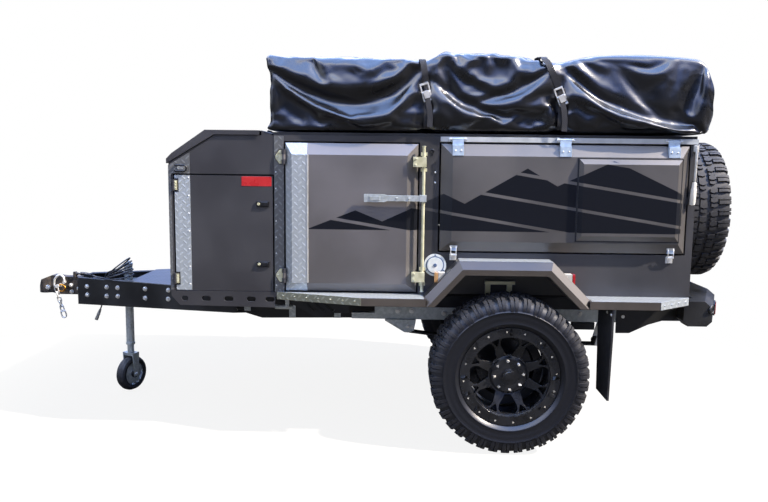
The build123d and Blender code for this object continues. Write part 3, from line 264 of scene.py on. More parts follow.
plug_grey = weathered("moulded_grey_plug_nylon", ("#6f757c", "#8d9298"), (0.38, 0.55), (2.0, 0.08),
                      patch_mm=20.0)
plug_run = (plug_end - drop_end).normalized()
plug_profile = [(4.2, -9), (6.5, -8), (7.0, -2), (6.0, 0), (8.0, 3), (8.8, 20), (9.6, 22), (9.6, 26),
                (8.8, 28), (8.8, 40), (9.9, 41), (9.9, 59), (9.4, 61), (7.6, 61), (7.6, 55), (0, 55)]
work = bmesh.new()
add_turned(work, plug_end, plug_run, plug_profile, 28)
pins, pin_circle = 6, 5.0
side = plug_run.orthogonal().normalized()
for k in range(pins + 1):
    angle = 2 * math.pi * k / pins
    spread = pin_circle if k < pins else 0
    offset = (math.cos(angle) * side + math.sin(angle) * plug_run.cross(side)) * spread
    add_turned(work, plug_end + plug_run * 54 + offset, plug_run, [(0.9, 0), (0.9, 5), (0, 5.6)], 8)
light_plug = set_mesh("light_lead_plug", work, "chassis", plug_grey, bevel_mm=0.3)
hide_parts("lead_plug")

gland_black = weathered("ribbed_black_rubber_boot", ("#131314", "#1b1b1d"), (0.5, 0.65), (1.2, 0.05),
                        patch_mm=25.0)
work = bmesh.new()
boot = [(0, -1), (11, -1), (11, 2)]
for k in range(5):
    boot += [(9.5 - k, 3 + 4 * k), (9.5 - k, 5 + 4 * k), (7.8 - 0.7 * k, 5.4 + 4 * k),
             (7.8 - 0.7 * k, 6.6 + 4 * k)]
add_turned(work, gland_point, (1, 0, 0.06), [*boot, (4.4, 24), (0, 24)], 24)
lead_boot = set_mesh("light_lead_boot", work, "chassis", gland_black, bevel_mm=0.3)


# Chassis: welded steel box rails and cross bearers, blasted and sprayed with satin black enamel. The enamel
# has a faint orange peel, and road dust dulls it in patches.
def dress(finish, *nodes):
    """Gives the drawing's own pieces their finish."""
    for node in nodes:
        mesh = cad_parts[node].data
        mesh.materials.clear()
        mesh.materials.append(finish)


chassis_enamel = weathered("satin_black_chassis_enamel", ("#141516", "#242525"), (0.3, 0.5), (2.5, 0.07),
                           240.0)
dress(chassis_enamel, "chassis_rails", "cross_bearers", "drawbar")


# Axle rails: hot-dip galvanised channel under the chassis, with the spring hangers. The zinc's spangle is
# drawn at its real 12 mm, and dulls to grey-blue.
def maths(tree, operation, *values):
    """One step of arithmetic on numbers or on the outputs of other nodes."""
    return add_node(tree, "ShaderNodeMath", dict(enumerate(values)), operation=operation)


def zinc_dipped(name, colours, roughness, spangle_mm):
    """Hot-dip zinc: flat crystals of slightly different tone and gloss."""
    finish, tree, shader, spot = new_finish(name)
    crystals = add_node(tree, "ShaderNodeTexVoronoi", {"Vector": spot, "Scale": 1000 / spangle_mm})
    tone = add_node(tree, "ShaderNodeSeparateColor", {0: crystals.outputs["Color"]})
    bloom = add_node(tree, "ShaderNodeTexNoise", {"Vector": spot, "Scale": 6.0, "Detail": 6.0})
    blend = maths(tree, "MULTIPLY", tone.outputs[0], bloom.outputs["Fac"])
    colour = mix_colours(tree, blend.outputs[0], linear(colours[0]), linear(colours[1]))
    gloss = add_node(tree, "ShaderNodeMapRange", {0: tone.outputs[1], 3: roughness[0], 4: roughness[1]})
    edge = add_node(tree, "ShaderNodeBevel", {"Radius": 0.0012}, samples=4)
    bump = add_node(tree, "ShaderNodeBump", {"Height": bloom.outputs["Fac"], "Distance": 0.0006,
                                             "Normal": edge.outputs[0]})
    set_inputs(tree, shader, {"Base Color": colour.outputs[2], "Roughness": gloss.outputs[0],
                              "Normal": bump.outputs[0], "Metallic": 0.45})
    return finish


galvanised = zinc_dipped("hot_dip_galvanised_steel", ("#a3acb0", "#ccd3d6"), (0.42, 0.6), 12.0)
bright_zinc = weathered("bright_zinc_plated_steel", ("#cfd1d0", "#e4e6e5"), (0.3, 0.42), (1.2, 0.03), 30.0,
                        metallic=0.5, edge_mm=0.8)
dress(galvanised, "axle_rails")
dress(bright_zinc, "spring_shackles")


def add_bolt(work, centre, axis, across, height=None):
    """A hexagon head on its washer, standing on centre and facing along axis."""
    tall = height or across * 0.42
    radius = across / 2
    add_turned(work, centre, axis, [(0, 0), (radius * 1.3, 0), (radius * 1.3, 1.2), (radius, 1.4)], 20)
    add_turned(work, centre, axis, [(radius, 1.2), (radius, tall * 0.8), (radius * 0.82, tall), (0, tall)], 6)


rail_centre, rail_half, hanger_half = 500, 25, 40
work = bmesh.new()
for side in (left, right):
    for x, z in ((-546, 627), (-472, 628), (-300, 618), (250, 618), (420, 627), (560, 627), (648, 615)):
        add_bolt(work, (x, side * (rail_centre + rail_half), z), (0, side, 0), 22)
    for x, z in ((-493, 546), (-466, 543)):
        add_bolt(work, (x, side * (rail_centre + hanger_half), z), (0, side, 0), 15)
set_mesh("axle_rail_bolts", work, "chassis", bright_zinc, sharp=30)


# Brackets: one inside each wheel arch, of folded strip with pale primed faces, and a channel of black strip
# welded under the rear end of each axle rail. The primed faces are painted lighter than their primer: painted
# light where the arch keeps them in shade.
def add_plate(work, outline, thickness):
    """A flat plate: outline is a list of 3-D points, and thickness the vector from one face to the other."""
    shift = Vector(thickness)
    near = [work.verts.new(Vector(p)) for p in outline]
    far = [work.verts.new(Vector(p) + shift) for p in outline]
    work.faces.new(near)
    work.faces.new(far[::-1])
    for k in range(len(near)):
        n = (k + 1) % len(near)
        work.faces.new([near[k], far[k], far[n], near[n]])


def add_block(work, x_range, y_range, z_range):
    """A block between three pairs of limits."""
    (x0, x1), (y0, y1), (z0, z1) = x_range, y_range, z_range
    add_plate(work, [(x0, y0, z0), (x1, y0, z0), (x1, y0, z1), (x0, y0, z1)], (0, y1 - y0, 0))


# Pale primer, lightened as painted light: the arch keeps these faces in shade.
primer_with_painted_light = weathered("pale_primer_with_painted_light", ("#c4c6aa", "#dadcc2"), (0.45, 0.6), (1.5, 0.05), 60.0)
arch_face = 615.0
work_primed, work_dark = bmesh.new(), bmesh.new()
for side in (left, right):
    add_block(work_primed, (-99, 54), (side * (arch_face + 25), side * (arch_face + 26.2)), (796, 812))
    for x in (-97, 14):
        add_block(work_primed, (x + 1, x + 27), (side * (arch_face + 15), side * (arch_face + 16)),
                  (727, 794))
    for y_range, foot in (((470, 476), 536), ((470, 526), 574), ((520, 526), 540)):
        add_block(work_dark, (388, 502), [side * y for y in y_range], (foot, 578))
set_mesh("wheel_arch_face_plates", work_primed, "chassis", primer_with_painted_light, bevel_mm=0.3)
set_mesh("axle_rail_rear_brackets", work_dark, "chassis", chassis_enamel, bevel_mm=0.8)


# Packing strips: black rubber pressed between the chassis rails and the floor, cut to length from bearer to
# bearer. They keep road dirt out of the gap.
strip_half = 21
work = bmesh.new()
for side in (left, right):
    for x_range in ((-1053, -647), (-593, 493), (547, 813)):
        add_block(work, x_range, (side * (rail_centre - strip_half), side * (rail_centre + strip_half)),
                  (712.5, 739.5))
set_mesh("floor_packing_strips", work, "chassis", gland_black, bevel_mm=1.0)


# Running gear: black spring leaves with rebound clips, a tube axle with its U-bolts and pressed dust shields
# round its brakes, and four gas dampers with rubber boots.
tyre_radius, tyre_half, overall_half = 388.0, 132.5, 937.0
wheel_plane = overall_half - tyre_half
spring_steel = weathered("painted_spring_steel", ("#1b1b1c", "#2c2a28"), (0.4, 0.62), (2.0, 0.12), 70.0)
axle_paint = weathered("gloss_black_axle_paint", ("#101112", "#1d1e1f"), (0.22, 0.42), (3.0, 0.06), 120.0)
damper_paint = weathered("grey_damper_enamel", ("#2a2d31", "#3a3e43"), (0.25, 0.4), (2.0, 0.04), 60.0)
dress(spring_steel, "leaf_springs")
dress(axle_paint, "axle_beam")
dress(damper_paint, "shock_absorbers")
work = bmesh.new()
for side in (left, right):
    for x in (-250, 260):
        for y in (side * rail_centre - 33, side * rail_centre + 31):
            add_block(work, (x - 12, x + 12), (y, y + 3), (440, 500))
        add_bolt(work, (x, side * 534, 492), (0, side, 0), 13)
    for x in (-44, 44):
        for y in (side * rail_centre - 36, side * rail_centre + 36):
            add_bolt(work, (x, y, 478), (0, 0, 1), 17, 14)
            add_bolt(work, (x, y, 392), (0, 0, -1), 17, 10)
set_mesh("spring_clips_and_nuts", work, "chassis", bright_zinc, bevel_mm=0.6)
work = bmesh.new()
shield_profile = [(149.8, 0), (149.8, 111), (187, 113), (190, 110), (190, 92), (191.2, 92), (191.2, 112),
                  (188, 116), (148.2, 114), (148.2, 0), (149.8, 0)]
for side in (left, right):
    add_turned(work, (0, side * (wheel_plane - 176.5), tyre_radius), (0, side, 0), shield_profile, 64)
set_mesh("brake_dust_shields", work, "chassis", axle_paint, sharp=35)
work = bmesh.new()
shock_y = wheel_plane - 184.5 - 30
for side in (left, right):
    for x in (-78, 54):
        add_turned(work, (x, side * shock_y, 342), (0, 0, 1),
                   [(0, 0), (19, 0), (19, 6), (14, 9), (14, 60), (15.5, 62), (15.5, 118), (0, 118)], 20)
        add_turned(work, (x, side * shock_y, 702), (0, 0, 1),
                   [(0, 0), (25.5, 0), (25.5, 5), (18, 10), (21, 14), (21, 22), (16, 26), (0, 26)], 20)
set_mesh("damper_boots", work, "chassis", gland_black, bevel_mm=0.8)


# Road and spare tyres: black rubber mud tyres with staggered shoulder lugs that are cut by sipes and run down
# onto the sidewall. The sidewall is smooth and glossier than the tread, with two moulded rings and no
# lettering.
tread_floor = 376.0
lug_pitches = 38
crown = [(0.0, 0.0), (98.5, 0.0), (112.0, -4.5), (121.0, -14.0), (127.0, -27.0), (130.5, -42.0),
         (132.0, -58.0)]
rubber, tree, shader, spot = new_finish("moulded_tyre_rubber")
across = add_node(tree, "ShaderNodeSeparateXYZ", {0: spot})
reach = add_node(tree, "ShaderNodeVectorMath", {0: add_node(tree, "ShaderNodeCombineXYZ", {
    0: across.outputs[0], 1: across.outputs[1]}).outputs[0]}, operation="LENGTH")
worn = add_node(tree, "ShaderNodeMapRange", {0: reach.outputs["Value"], 1: 0.33, 2: 0.386})
grime = add_node(tree, "ShaderNodeTexNoise", {"Vector": spot, "Scale": 22.0, "Detail": 6.0})
dust = maths(tree, "MULTIPLY", worn.outputs[0], grime.outputs["Fac"])
tone = mix_colours(tree, dust.outputs[0], linear("#16181e"), linear("#3c3c3d"))
gloss = add_node(tree, "ShaderNodeMapRange", {0: worn.outputs[0], 3: 0.36, 4: 0.72})
skin = add_node(tree, "ShaderNodeTexNoise", {"Vector": spot, "Scale": 700.0, "Detail": 2.0})
bump = add_node(tree, "ShaderNodeBump", {"Height": skin.outputs["Fac"], "Distance": 0.00015})
set_inputs(tree, shader, {"Base Color": tone.outputs[2], "Roughness": gloss.outputs[0],
                          "Normal": bump.outputs[0]})


def on_crown(span, arc, height):
    """A point on the tread: span across from the middle, arc along it in degrees, height above its floor."""
    side = 1 if span >= 0 else -1
    distance = abs(span)
    for (z0, d0), (z1, d1) in zip(crown, crown[1:]):
        step = math.hypot(z1 - z0, d1 - d0)
        if distance <= step or (z1, d1) == crown[-1]:
            share = min(distance / step, 1.0)
            z, drop = z0 + (z1 - z0) * share, d0 + (d1 - d0) * share
            out_z, out_r = -(d1 - d0) / step, (z1 - z0) / step
            break
        distance -= step
    radius = tread_floor + drop + out_r * height
    angle = math.radians(arc)
    return Vector((radius * math.cos(angle), radius * math.sin(angle),
                   side * min(z + out_z * height, tyre_half)))


degrees_per_radian = 57.3


def add_lug(work, rows, height, shrink=1.6):
    """A tread lug: rows of (span, first arc, last arc); its top is shrunk a little all round."""
    edge = shrink / tyre_radius * degrees_per_radian
    base = [[work.verts.new(on_crown(span, arc, -3)) for arc in (a, (a + b) / 2, b)] for span, a, b in rows]
    top = []
    for n, (span, a, b) in enumerate(rows):
        pull = shrink if n == 0 else -shrink if n == len(rows) - 1 else 0
        tall = height if abs(span) < 128 else height * 0.55
        top.append([work.verts.new(on_crown(span + math.copysign(pull, span or 1), arc, tall))
                    for arc in (a + edge, (a + b) / 2, b - edge)])
    for k in range(len(rows) - 1):
        for c in range(2):
            work.faces.new([top[k][c], top[k][c + 1], top[k + 1][c + 1], top[k + 1][c]])
        for c in (0, 2):
            work.faces.new([base[k][c], top[k][c], top[k + 1][c], base[k + 1][c]])
    for k in (0, -1):
        for c in range(2):
            work.faces.new([base[k][c], base[k][c + 1], top[k][c + 1], top[k][c]])


def tyre_mesh():
    """The carcass as a turned form, and its lugs."""
    work = bmesh.new()
    half = [(217, 94), (217, 103), (231, 104), (240, 105), (246, 112), (252, 121), (262, 126.5), (264, 128.2),
            (268, 128.4), (270, 127.6), (290, 131.4), (303, 132.2), (318, 131.8), (320, 133), (324, 133),
            (326, 131.4), (334, 130.6), (349, 127), (362, 121), (371.5, 112), (tread_floor, 98.5),
            (tread_floor, 50)]
    line = [*half, (tread_floor, 0), *[(r, -z) for r, z in reversed(half)], half[0]]
    add_turned(work, (0, 0, 0), (0, 0, 1), line, 152)
    pitch = 360 / lug_pitches
    for number in range(lug_pitches):
        start = pitch * number
        long_lug = number % 2
        for side in (-1, 1):
            shift = 0 if side > 0 else pitch * 0.5
            a = start + shift
            reach_out = 172 if long_lug else 158
            slant = 0.10 * pitch * side
            outer = [(54, a + slant * 2.2, a + pitch * 0.36), (78, a + slant, a + pitch * 0.34),
                     (98, a, a + pitch * 0.33), (116, a, a + pitch * 0.33), (134, a, a + pitch * 0.33),
                     (150, a, a + pitch * 0.33), (reach_out, a + pitch * 0.03, a + pitch * 0.32)]
            sipe, width = pitch * 0.035, pitch * (0.33 if long_lug else 0.28)
            inner = [(s, b + sipe, b + sipe + width) for s, _, b in outer]
            add_lug(work, [(side * s, f, l) for s, f, l in outer], 12)
            add_lug(work, [(side * s, f, l) for s, f, l in inner], 12)
            middle = a + pitch * (0.12 if long_lug else 0.3)
            add_lug(work, [(side * 8, middle + slant, middle + pitch * 0.42),
                           (side * 26, middle, middle + pitch * 0.5),
                           (side * 46, middle + slant * 0.6, middle + pitch * 0.4)], 12)
            add_lug(work, [(side * 10, middle + pitch * 0.56, middle + pitch * 0.84),
                           (side * 30, middle + pitch * 0.6, middle + pitch * 0.9),
                           (side * 44, middle + pitch * 0.54, middle + pitch * 0.8)], 11)
        for side in (-1, 1):
            for n in range(2):
                a = start + pitch * (0.1 + 0.5 * n)
                add_lug(work, [(side * 182, a, a + pitch * 0.3), (side * 186, a, a + pitch * 0.3)], 1.6, 0.4)
    return work


rear_reach, spare_height = 1258.0, 1160.0
spare_plane = rear_reach - tyre_half
wheel_places = {}
for wheel, body, spot, quarters, axis in (("left", "wheel_left", (0, -wheel_plane, tyre_radius), 1, "X"),
                                          ("right", "wheel_right", (0, wheel_plane, tyre_radius), -1, "X"),
                                          ("spare", "tail_door", (spare_plane, 0, spare_height), 1, "Y")):
    wheel_places[wheel] = (body, Matrix.Translation(spot) @ Matrix.Rotation(quarters * math.pi / 2, 4, axis))
to_metres = Matrix.Scale(0.001, 4)
for wheel, (body, place) in wheel_places.items():
    tyre = set_mesh(wheel + "_mud_tyre", tyre_mesh(), body, rubber, sharp=38, place=to_metres,
                    stand=to_frame @ place @ to_metres.inverted())
    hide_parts("spare_tyre" if wheel == "spare" else "road_tyre_" + wheel)


# Wheels: cast alloy in satin black lacquer, with sixteen small bright screws round the lip, eight wheel nuts,
# a blank cap in a thin bright ring, and a rubber valve. The spare has the same face.
def add_bar(work, points, radius, sides=10, closed=False, taper=None):
    """A round bar along points, with a radius at each point if taper gives them."""
    line = [Vector(p) for p in points]
    count = len(line)
    rows = []
    up = None
    for k, here in enumerate(line):
        before = line[(k - 1) % count] if closed or k else here
        after = line[(k + 1) % count] if closed or k < count - 1 else here
        along = (after - before).normalized()
        if up is None:
            up = along.orthogonal().normalized()
        up = (up - along * up.dot(along)).normalized()
        side = along.cross(up)
        size = taper[k] if taper else radius
        rows.append([work.verts.new(here + size * (math.cos(2 * math.pi * n / sides) * up
                                                   + math.sin(2 * math.pi * n / sides) * side))
                     for n in range(sides)])
    pairs = list(zip(rows, rows[1:] + (rows[:1] if closed else [])))
    for low, high in pairs:
        shift = 0
        if closed and low is rows[-1]:
            shift = min(range(sides), key=lambda s: (low[0].co - high[s].co).length)
        for n in range(sides):
            work.faces.new([low[n], low[(n + 1) % sides], high[(n + 1 + shift) % sides],
                            high[(n + shift) % sides]])
    if not closed:
        work.faces.new(rows[0][::-1])
        work.faces.new(rows[-1])


wheel_lacquer = weathered("satin_black_wheel_lacquer", ("#17181b", "#222429"), (0.22, 0.34), (1.5, 0.02),
                          80.0, edge_mm=1.6, coat=0.3)
dress(wheel_lacquer, "road_rim_left", "road_rim_right", "spare_rim")
screw_steel = weathered("polished_stainless_steel", ("#d8dadb", "#eceded"), (0.2, 0.32), (1.0, 0.02), 20.0,
                        metallic=0.35, edge_mm=0.8)
lip_screws, lip_circle = 16, 225
wheel_nuts, nut_circle = 8, 72
for wheel, (body, place) in wheel_places.items():
    work = bmesh.new()
    for k in range(lip_screws):
        angle = 2 * math.pi * (k + 0.25) / lip_screws
        add_bolt(work, (lip_circle * math.cos(angle), lip_circle * math.sin(angle), 114), (0, 0, 1), 12.5, 6)
    for k in range(wheel_nuts):
        angle = 2 * math.pi * k / wheel_nuts + 0.09
        add_bolt(work, (nut_circle * math.cos(angle), nut_circle * math.sin(angle), 78), (0, 0, 1), 15, 15)
    add_turned(work, (0, 0, 98), (0, 0, 1), [(24.5, 0), (25.2, 1.6), (28.6, 1.6), (29.4, 0)], 40)
    work.transform(to_frame @ place)
    set_mesh(wheel + "_wheel_screws", work, body, screw_steel, sharp=30, place=Matrix())
    work = bmesh.new()
    add_turned(work, (0, 0, 97), (0, 0, 1), [(31.2, -16), (31.8, -6), (30.6, 0.6), (24.6, 1.2), (22, 2.6),
                                             (0, 3.4)], 40)
    add_bar(work, [(188, 40, 96), (186, 41, 112), (184, 43, 124)], 4, 10, taper=[5.5, 4.2, 3.6])
    for k in range(lip_screws):
        angle = 2 * math.pi * k / lip_screws
        arm = Vector((math.cos(angle), math.sin(angle), 0))
        cross = Vector((-arm.y, arm.x, 0)) * 5
        base = arm * 206 + Vector((0, 0, 113.5))
        add_plate(work, [base - cross * 2, base + cross * 2, base + cross + arm * 34,
                         base - cross + arm * 34], (0, 0, 2.2))
    work.transform(to_frame @ place)
    set_mesh(wheel + "_wheel_cap", work, body, wheel_lacquer, bevel_mm=0.5, place=Matrix())


# Drawbar: two folded channel beams in black enamel, bolted through their outer faces with bright hexagon
# heads, and a deck of chequer plate between them.
drawbar_front, drawbar_front_half, drawbar_slope = -2443, 110, 0.363


def beam_y(x):
    """Half the drawbar's outer width at a station."""
    return drawbar_front_half + drawbar_slope * (x - drawbar_front)


beam_normal = Vector((-drawbar_slope, -1, 0)).normalized()
beam_bolts = [(-2385, 664), (-2385, 613), (-2248, 670), (-2250, 617), (-2174, 672), (-2174, 622),
              (-1989, 680), (-1990, 626), (-1839, 684), (-1841, 634)]
work = bmesh.new()
for side in (left, right):
    for x, z in beam_bolts:
        add_bolt(work, (x, side * beam_y(x), z), (beam_normal.x, -side * beam_normal.y, 0), 21, 11)
set_mesh("drawbar_bolts", work, "chassis", bright_zinc, sharp=30)


def chequer_plate(name, colours, bar_mm=28.0, metallic=0.4):
    """Rolled aluminium tread plate: short raised bars, each square to its neighbours, on the face that shows.

    bar_mm is the real pitch of the bars. The plate is bright, and the bars' tops are worn brighter.
    """
    finish, tree, shader, spot = new_finish(name)
    normal = add_node(tree, "ShaderNodeTexCoord").outputs["Normal"]
    facing = add_node(tree, "ShaderNodeSeparateXYZ", {0: normal})
    place = add_node(tree, "ShaderNodeSeparateXYZ", {0: spot})
    flat = [maths(tree, "GREATER_THAN", maths(tree, "ABSOLUTE", facing.outputs[k]).outputs[0], 0.72)
            for k in (0, 2)]
    first = add_node(tree, "ShaderNodeMix", {0: flat[0].outputs[0], 2: place.outputs[0], 3: place.outputs[1]})
    second = add_node(tree, "ShaderNodeMix", {0: flat[1].outputs[0], 2: place.outputs[2],
                                              3: place.outputs[1]})
    pitch = bar_mm / 1000
    cells = []
    for operation in ("ADD", "SUBTRACT"):
        turned = maths(tree, operation, first.outputs[0], second.outputs[0])
        cells.append(maths(tree, "MULTIPLY", turned.outputs[0], 0.7071 / pitch))
    whole = [maths(tree, "FLOOR", c.outputs[0]) for c in cells]
    inside = [maths(tree, "SUBTRACT", maths(tree, "FRACT", c.outputs[0]).outputs[0], 0.5) for c in cells]
    total = maths(tree, "ADD", whole[0].outputs[0], whole[1].outputs[0])
    parity = maths(tree, "PINGPONG", total.outputs[0], 1.0)
    squared = []
    for k, (long_way, short_way) in enumerate(((0.46, 0.15), (0.15, 0.46))):
        width = add_node(tree, "ShaderNodeMix", {0: parity.outputs[0], 2: long_way, 3: short_way})
        share = maths(tree, "DIVIDE", inside[k].outputs[0], width.outputs[0])
        squared.append(maths(tree, "POWER", share.outputs[0], 2.0))
    reach = maths(tree, "ADD", squared[0].outputs[0], squared[1].outputs[0])
    raised = add_node(tree, "ShaderNodeMapRange", {0: reach.outputs[0], 1: 1.15, 2: 0.5})
    haze = add_node(tree, "ShaderNodeTexNoise", {"Vector": spot, "Scale": 14.0, "Detail": 6.0})
    worn = maths(tree, "MULTIPLY_ADD", raised.outputs[0], haze.outputs["Fac"], 0.12)
    colour = mix_colours(tree, worn.outputs[0], linear(colours[0]), linear(colours[1]))
    gloss = add_node(tree, "ShaderNodeMapRange", {0: haze.outputs["Fac"], 3: 0.34, 4: 0.52})
    edge = add_node(tree, "ShaderNodeBevel", {"Radius": 0.001}, samples=4)
    bump = add_node(tree, "ShaderNodeBump", {"Height": raised.outputs[0], "Distance": 0.0006,
                                             "Normal": edge.outputs[0]})
    set_inputs(tree, shader, {"Base Color": colour.outputs[2], "Roughness": gloss.outputs[0],
                              "Normal": bump.outputs[0], "Metallic": metallic})
    return finish


tread_plate = chequer_plate("rolled_aluminium_chequer_plate", ("#a4aeb8", "#c6cfd7"))
dull_tread_plate = chequer_plate("dull_aluminium_chequer_plate", ("#5c6066", "#868b91"), metallic=0.2)
dress(dull_tread_plate, "drawbar_deck", "stone_guard")
dress(tread_plate, "door_fold_left", "door_fold_right", "nose_fold_left", "nose_fold_right")


# Coupling: a cast and painted head, worn to bare metal at its nose, with bright bolts through its shank. A
# galvanised bow shackle, a brass ring and a short safety chain hang from a pin in its left side.
cast_coupling = weathered("worn_painted_cast_iron", ("#1d1c1b", "#4a423b"), (0.42, 0.7), (1.6, 0.35), 45.0,
                          edge_mm=2.0)
dress(cast_coupling, "coupling")
work = bmesh.new()
for side in (left, right):
    for x, z in ((-2526, 652), (-2524, 612), (-2480, 632)):
        add_bolt(work, (x, side * 30, z), (0, side, 0), 20, 11)
    add_bolt(work, (-2664, side * 41, 640), (0, side, 0), 24, 9)
    add_turned(work, (-2590, side * 29, 652), (0, side, 0),
               [(0, 0), (11, 0), (11, 6), (7.5, 7), (7.5, 42), (12, 43), (12, 49), (0, 50)], 18)
set_mesh("coupling_bolts", work, "chassis", bright_zinc, sharp=30)
work = bmesh.new()
bow = [(-2590, 652), (-2607, 640), (-2613, 662), (-2609, 692), (-2592, 714), (-2570, 720), (-2553, 704),
       (-2550, 680)]
add_bar(work, [(x, -66, z) for x, z in bow], 6.5, 12)
add_bar(work, [(-2550, -58, 676), (-2550, -74, 676)], 9, 12)


def chain_link(work, centre, along, across, length, width, bar):
    """One oval link of round bar."""
    along, across = Vector(along).normalized(), Vector(across).normalized()
    straight = length / 2 - width / 2
    points = []
    for k in range(16):
        angle = 2 * math.pi * k / 16
        shift = straight if math.cos(angle) > 0 else -straight
        bend = width / 2 * math.cos(angle) + shift
        points.append(Vector(centre) + along * bend + across * width / 2 * math.sin(angle))
    add_bar(work, points, bar, 8, closed=True)


hang, first_link = Vector((0.24, 0, -0.97)), Vector((-2598, -66, 628))
flat_way = Vector((0.97, 0.1, 0.24))
for k in range(5):
    chain_link(work, first_link + hang * 29 * k, hang, (0, 1, 0) if k % 2 else flat_way, 40, 20, 3.6)
chain_link(work, first_link + hang * 150, hang, flat_way, 46, 27, 4.2)
set_mesh("tow_shackle_and_chain", work, "chassis", bright_zinc, sharp=60)
brass = weathered("worn_yellow_brass", ("#a06a22", "#c98f3e"), (0.25, 0.42), (1.2, 0.05), 12.0, metallic=1.0)
work = bmesh.new()
ring = [(-2574 + 30 * math.cos(a), -60 - 9 * math.cos(a), 640 + 20 * math.sin(a)) for a in
        [2 * math.pi * k / 24 for k in range(24)]]
add_bar(work, ring, 4.6, 10, closed=True)
set_mesh("brass_tow_ring", work, "chassis", brass, sharp=60)


# Jockey stand: galvanised tubes in a bolted clamp and a fork of bent strip. Its wheel is a solid rubber tyre
# between two pressed discs.
dress(galvanised, "jockey_clamp", "jockey_tube", "jockey_leg", "jockey_fork")
dress(weathered("solid_black_rubber_tyre", ("#18181a", "#2b2a29"), (0.55, 0.75), (1.2, 0.08), 30.0),
      "jockey_wheel")
jockey_x, jockey_axle, jockey_turn = -2185.0, 105, math.radians(65)
jockey_place = Matrix.Translation((jockey_x, 0, 0)) @ Matrix.Rotation(jockey_turn, 4, "Z")
work = bmesh.new()
for side in (left, right):
    dish = [(9, 31), (24, 31), (27, 22), (40, 16), (60, 15), (68, 24), (72, 25.5), (74, 24), (69, 12)]
    add_turned(work, (0, 0, jockey_axle), (0, side, 0), dish, 36)
work.transform(to_frame @ jockey_place)
set_mesh("jockey_wheel_discs", work, "jockey_wheel", galvanised, place=Matrix(), bevel_mm=0.4)
work = bmesh.new()
for side in (left, right):
    add_bolt(work, (0, side * 42, jockey_axle), (0, side, 0), 17, 9)
work.transform(to_frame @ jockey_place)
set_mesh("jockey_axle_nuts", work, "jockey_fork", bright_zinc, place=Matrix(), sharp=30)
work = bmesh.new()
add_turned(work, (jockey_x, 0, 786), (0, 0, 1), [(24.6, -14), (26, -13), (26, 2), (23, 5), (9, 6.5), (9, 14),
                                                 (7, 16), (0, 16)], 32)
add_turned(work, (jockey_x, 0, 285), (0, 0, 1), [(24.2, 0), (26.5, 1), (26.5, 15), (24.2, 16.5)], 32)
for x in (-16, 16):
    for y in (-112, 112):
        add_bolt(work, (jockey_x + x, y, 672), (0, 0, 1), 17, 9)
set_mesh("jockey_collars", work, "chassis", galvanised, bevel_mm=0.6)


# Water tank: rotomoulded black polyethylene, hung between the rails in galvanised straps. Its filler pipe
# runs beside each rail.
dress(weathered("rotomoulded_black_polyethylene", ("#161717", "#212222"), (0.45, 0.62), (4.0, 0.25), 120.0),
      "belly_tank")
work = bmesh.new()
for x in (-1380, -1130, -880, -630):
    lower = 572 if x < -1300 else 548
    for y in (-391, 385):
        add_block(work, (x - 18, x + 18), (y, y + 6), (lower + 6, 705))
for side in (left, right):
    add_bar(work, [(-1189, side * 600, 655), (-1150, side * 600, 654), (-1097, side * 600, 653)], 12, 18)
    add_block(work, (-1135, -1115), (side * 600 - 13, side * 600 + 13), (653, 712))
set_mesh("tank_straps_and_pipe", work, "chassis", galvanised, bevel_mm=0.8)


# Body: folded and welded sheet steel in charcoal powder coat, finely textured, with doors and hatches in warm
# grey. A plain design of layered ridges is printed across them in a darker, glossier ink.
body_side = 780


def print_ridges(finish, ink="#24272f"):
    """Prints the layered ridges on the outer faces of a finish, at their place on the trailer's sides."""
    tree = finish.node_tree
    shader = next(node for node in tree.nodes if node.type == "BSDF_PRINCIPLED")
    spot = add_node(tree, "ShaderNodeTexCoord").outputs["Object"]
    place = add_node(tree, "ShaderNodeSeparateXYZ", {0: spot})
    inked = None
    for peak_x, peak_z, slope in ((-760, 1180, 0.40), (-330, 1265, 0.46), (70, 1392, 0.58), (480, 1432, 0.47),
                                  (830, 1262, 0.40)):
        away = maths(tree, "ADD", place.outputs[0], -(peak_x + axle_to_origin) / 1000)
        away = maths(tree, "ABSOLUTE", away.outputs[0])
        line = maths(tree, "MULTIPLY_ADD", away.outputs[0], slope, place.outputs[2])
        under = maths(tree, "LESS_THAN", line.outputs[0], peak_z / 1000)
        inked = under if inked is None else maths(tree, "MAXIMUM", inked.outputs[0], under.outputs[0])
    fall = maths(tree, "MULTIPLY_ADD", place.outputs[0], 0.16, place.outputs[2])
    layer = maths(tree, "PINGPONG", fall.outputs[0], 0.062)
    outward = maths(tree, "ABSOLUTE", place.outputs[1])
    limits = [maths(tree, "GREATER_THAN", layer.outputs[0], 0.0075),
              maths(tree, "GREATER_THAN", place.outputs[2], 1.085),
              maths(tree, "GREATER_THAN", outward.outputs[0], 0.7785),
              maths(tree, "LESS_THAN", place.outputs[0], (820 + axle_to_origin) / 1000)]
    for limit in limits:
        inked = maths(tree, "MULTIPLY", inked.outputs[0], limit.outputs[0])
    paint = shader.inputs["Base Color"].links[0].from_socket
    gloss = shader.inputs["Roughness"].links[0].from_socket
    colour = mix_colours(tree, inked.outputs[0], paint, linear(ink))
    sheen = add_node(tree, "ShaderNodeMix", {0: inked.outputs[0], 2: gloss, 3: 0.3})
    set_inputs(tree, shader, {"Base Color": colour.outputs[2], "Roughness": sheen.outputs[0]})


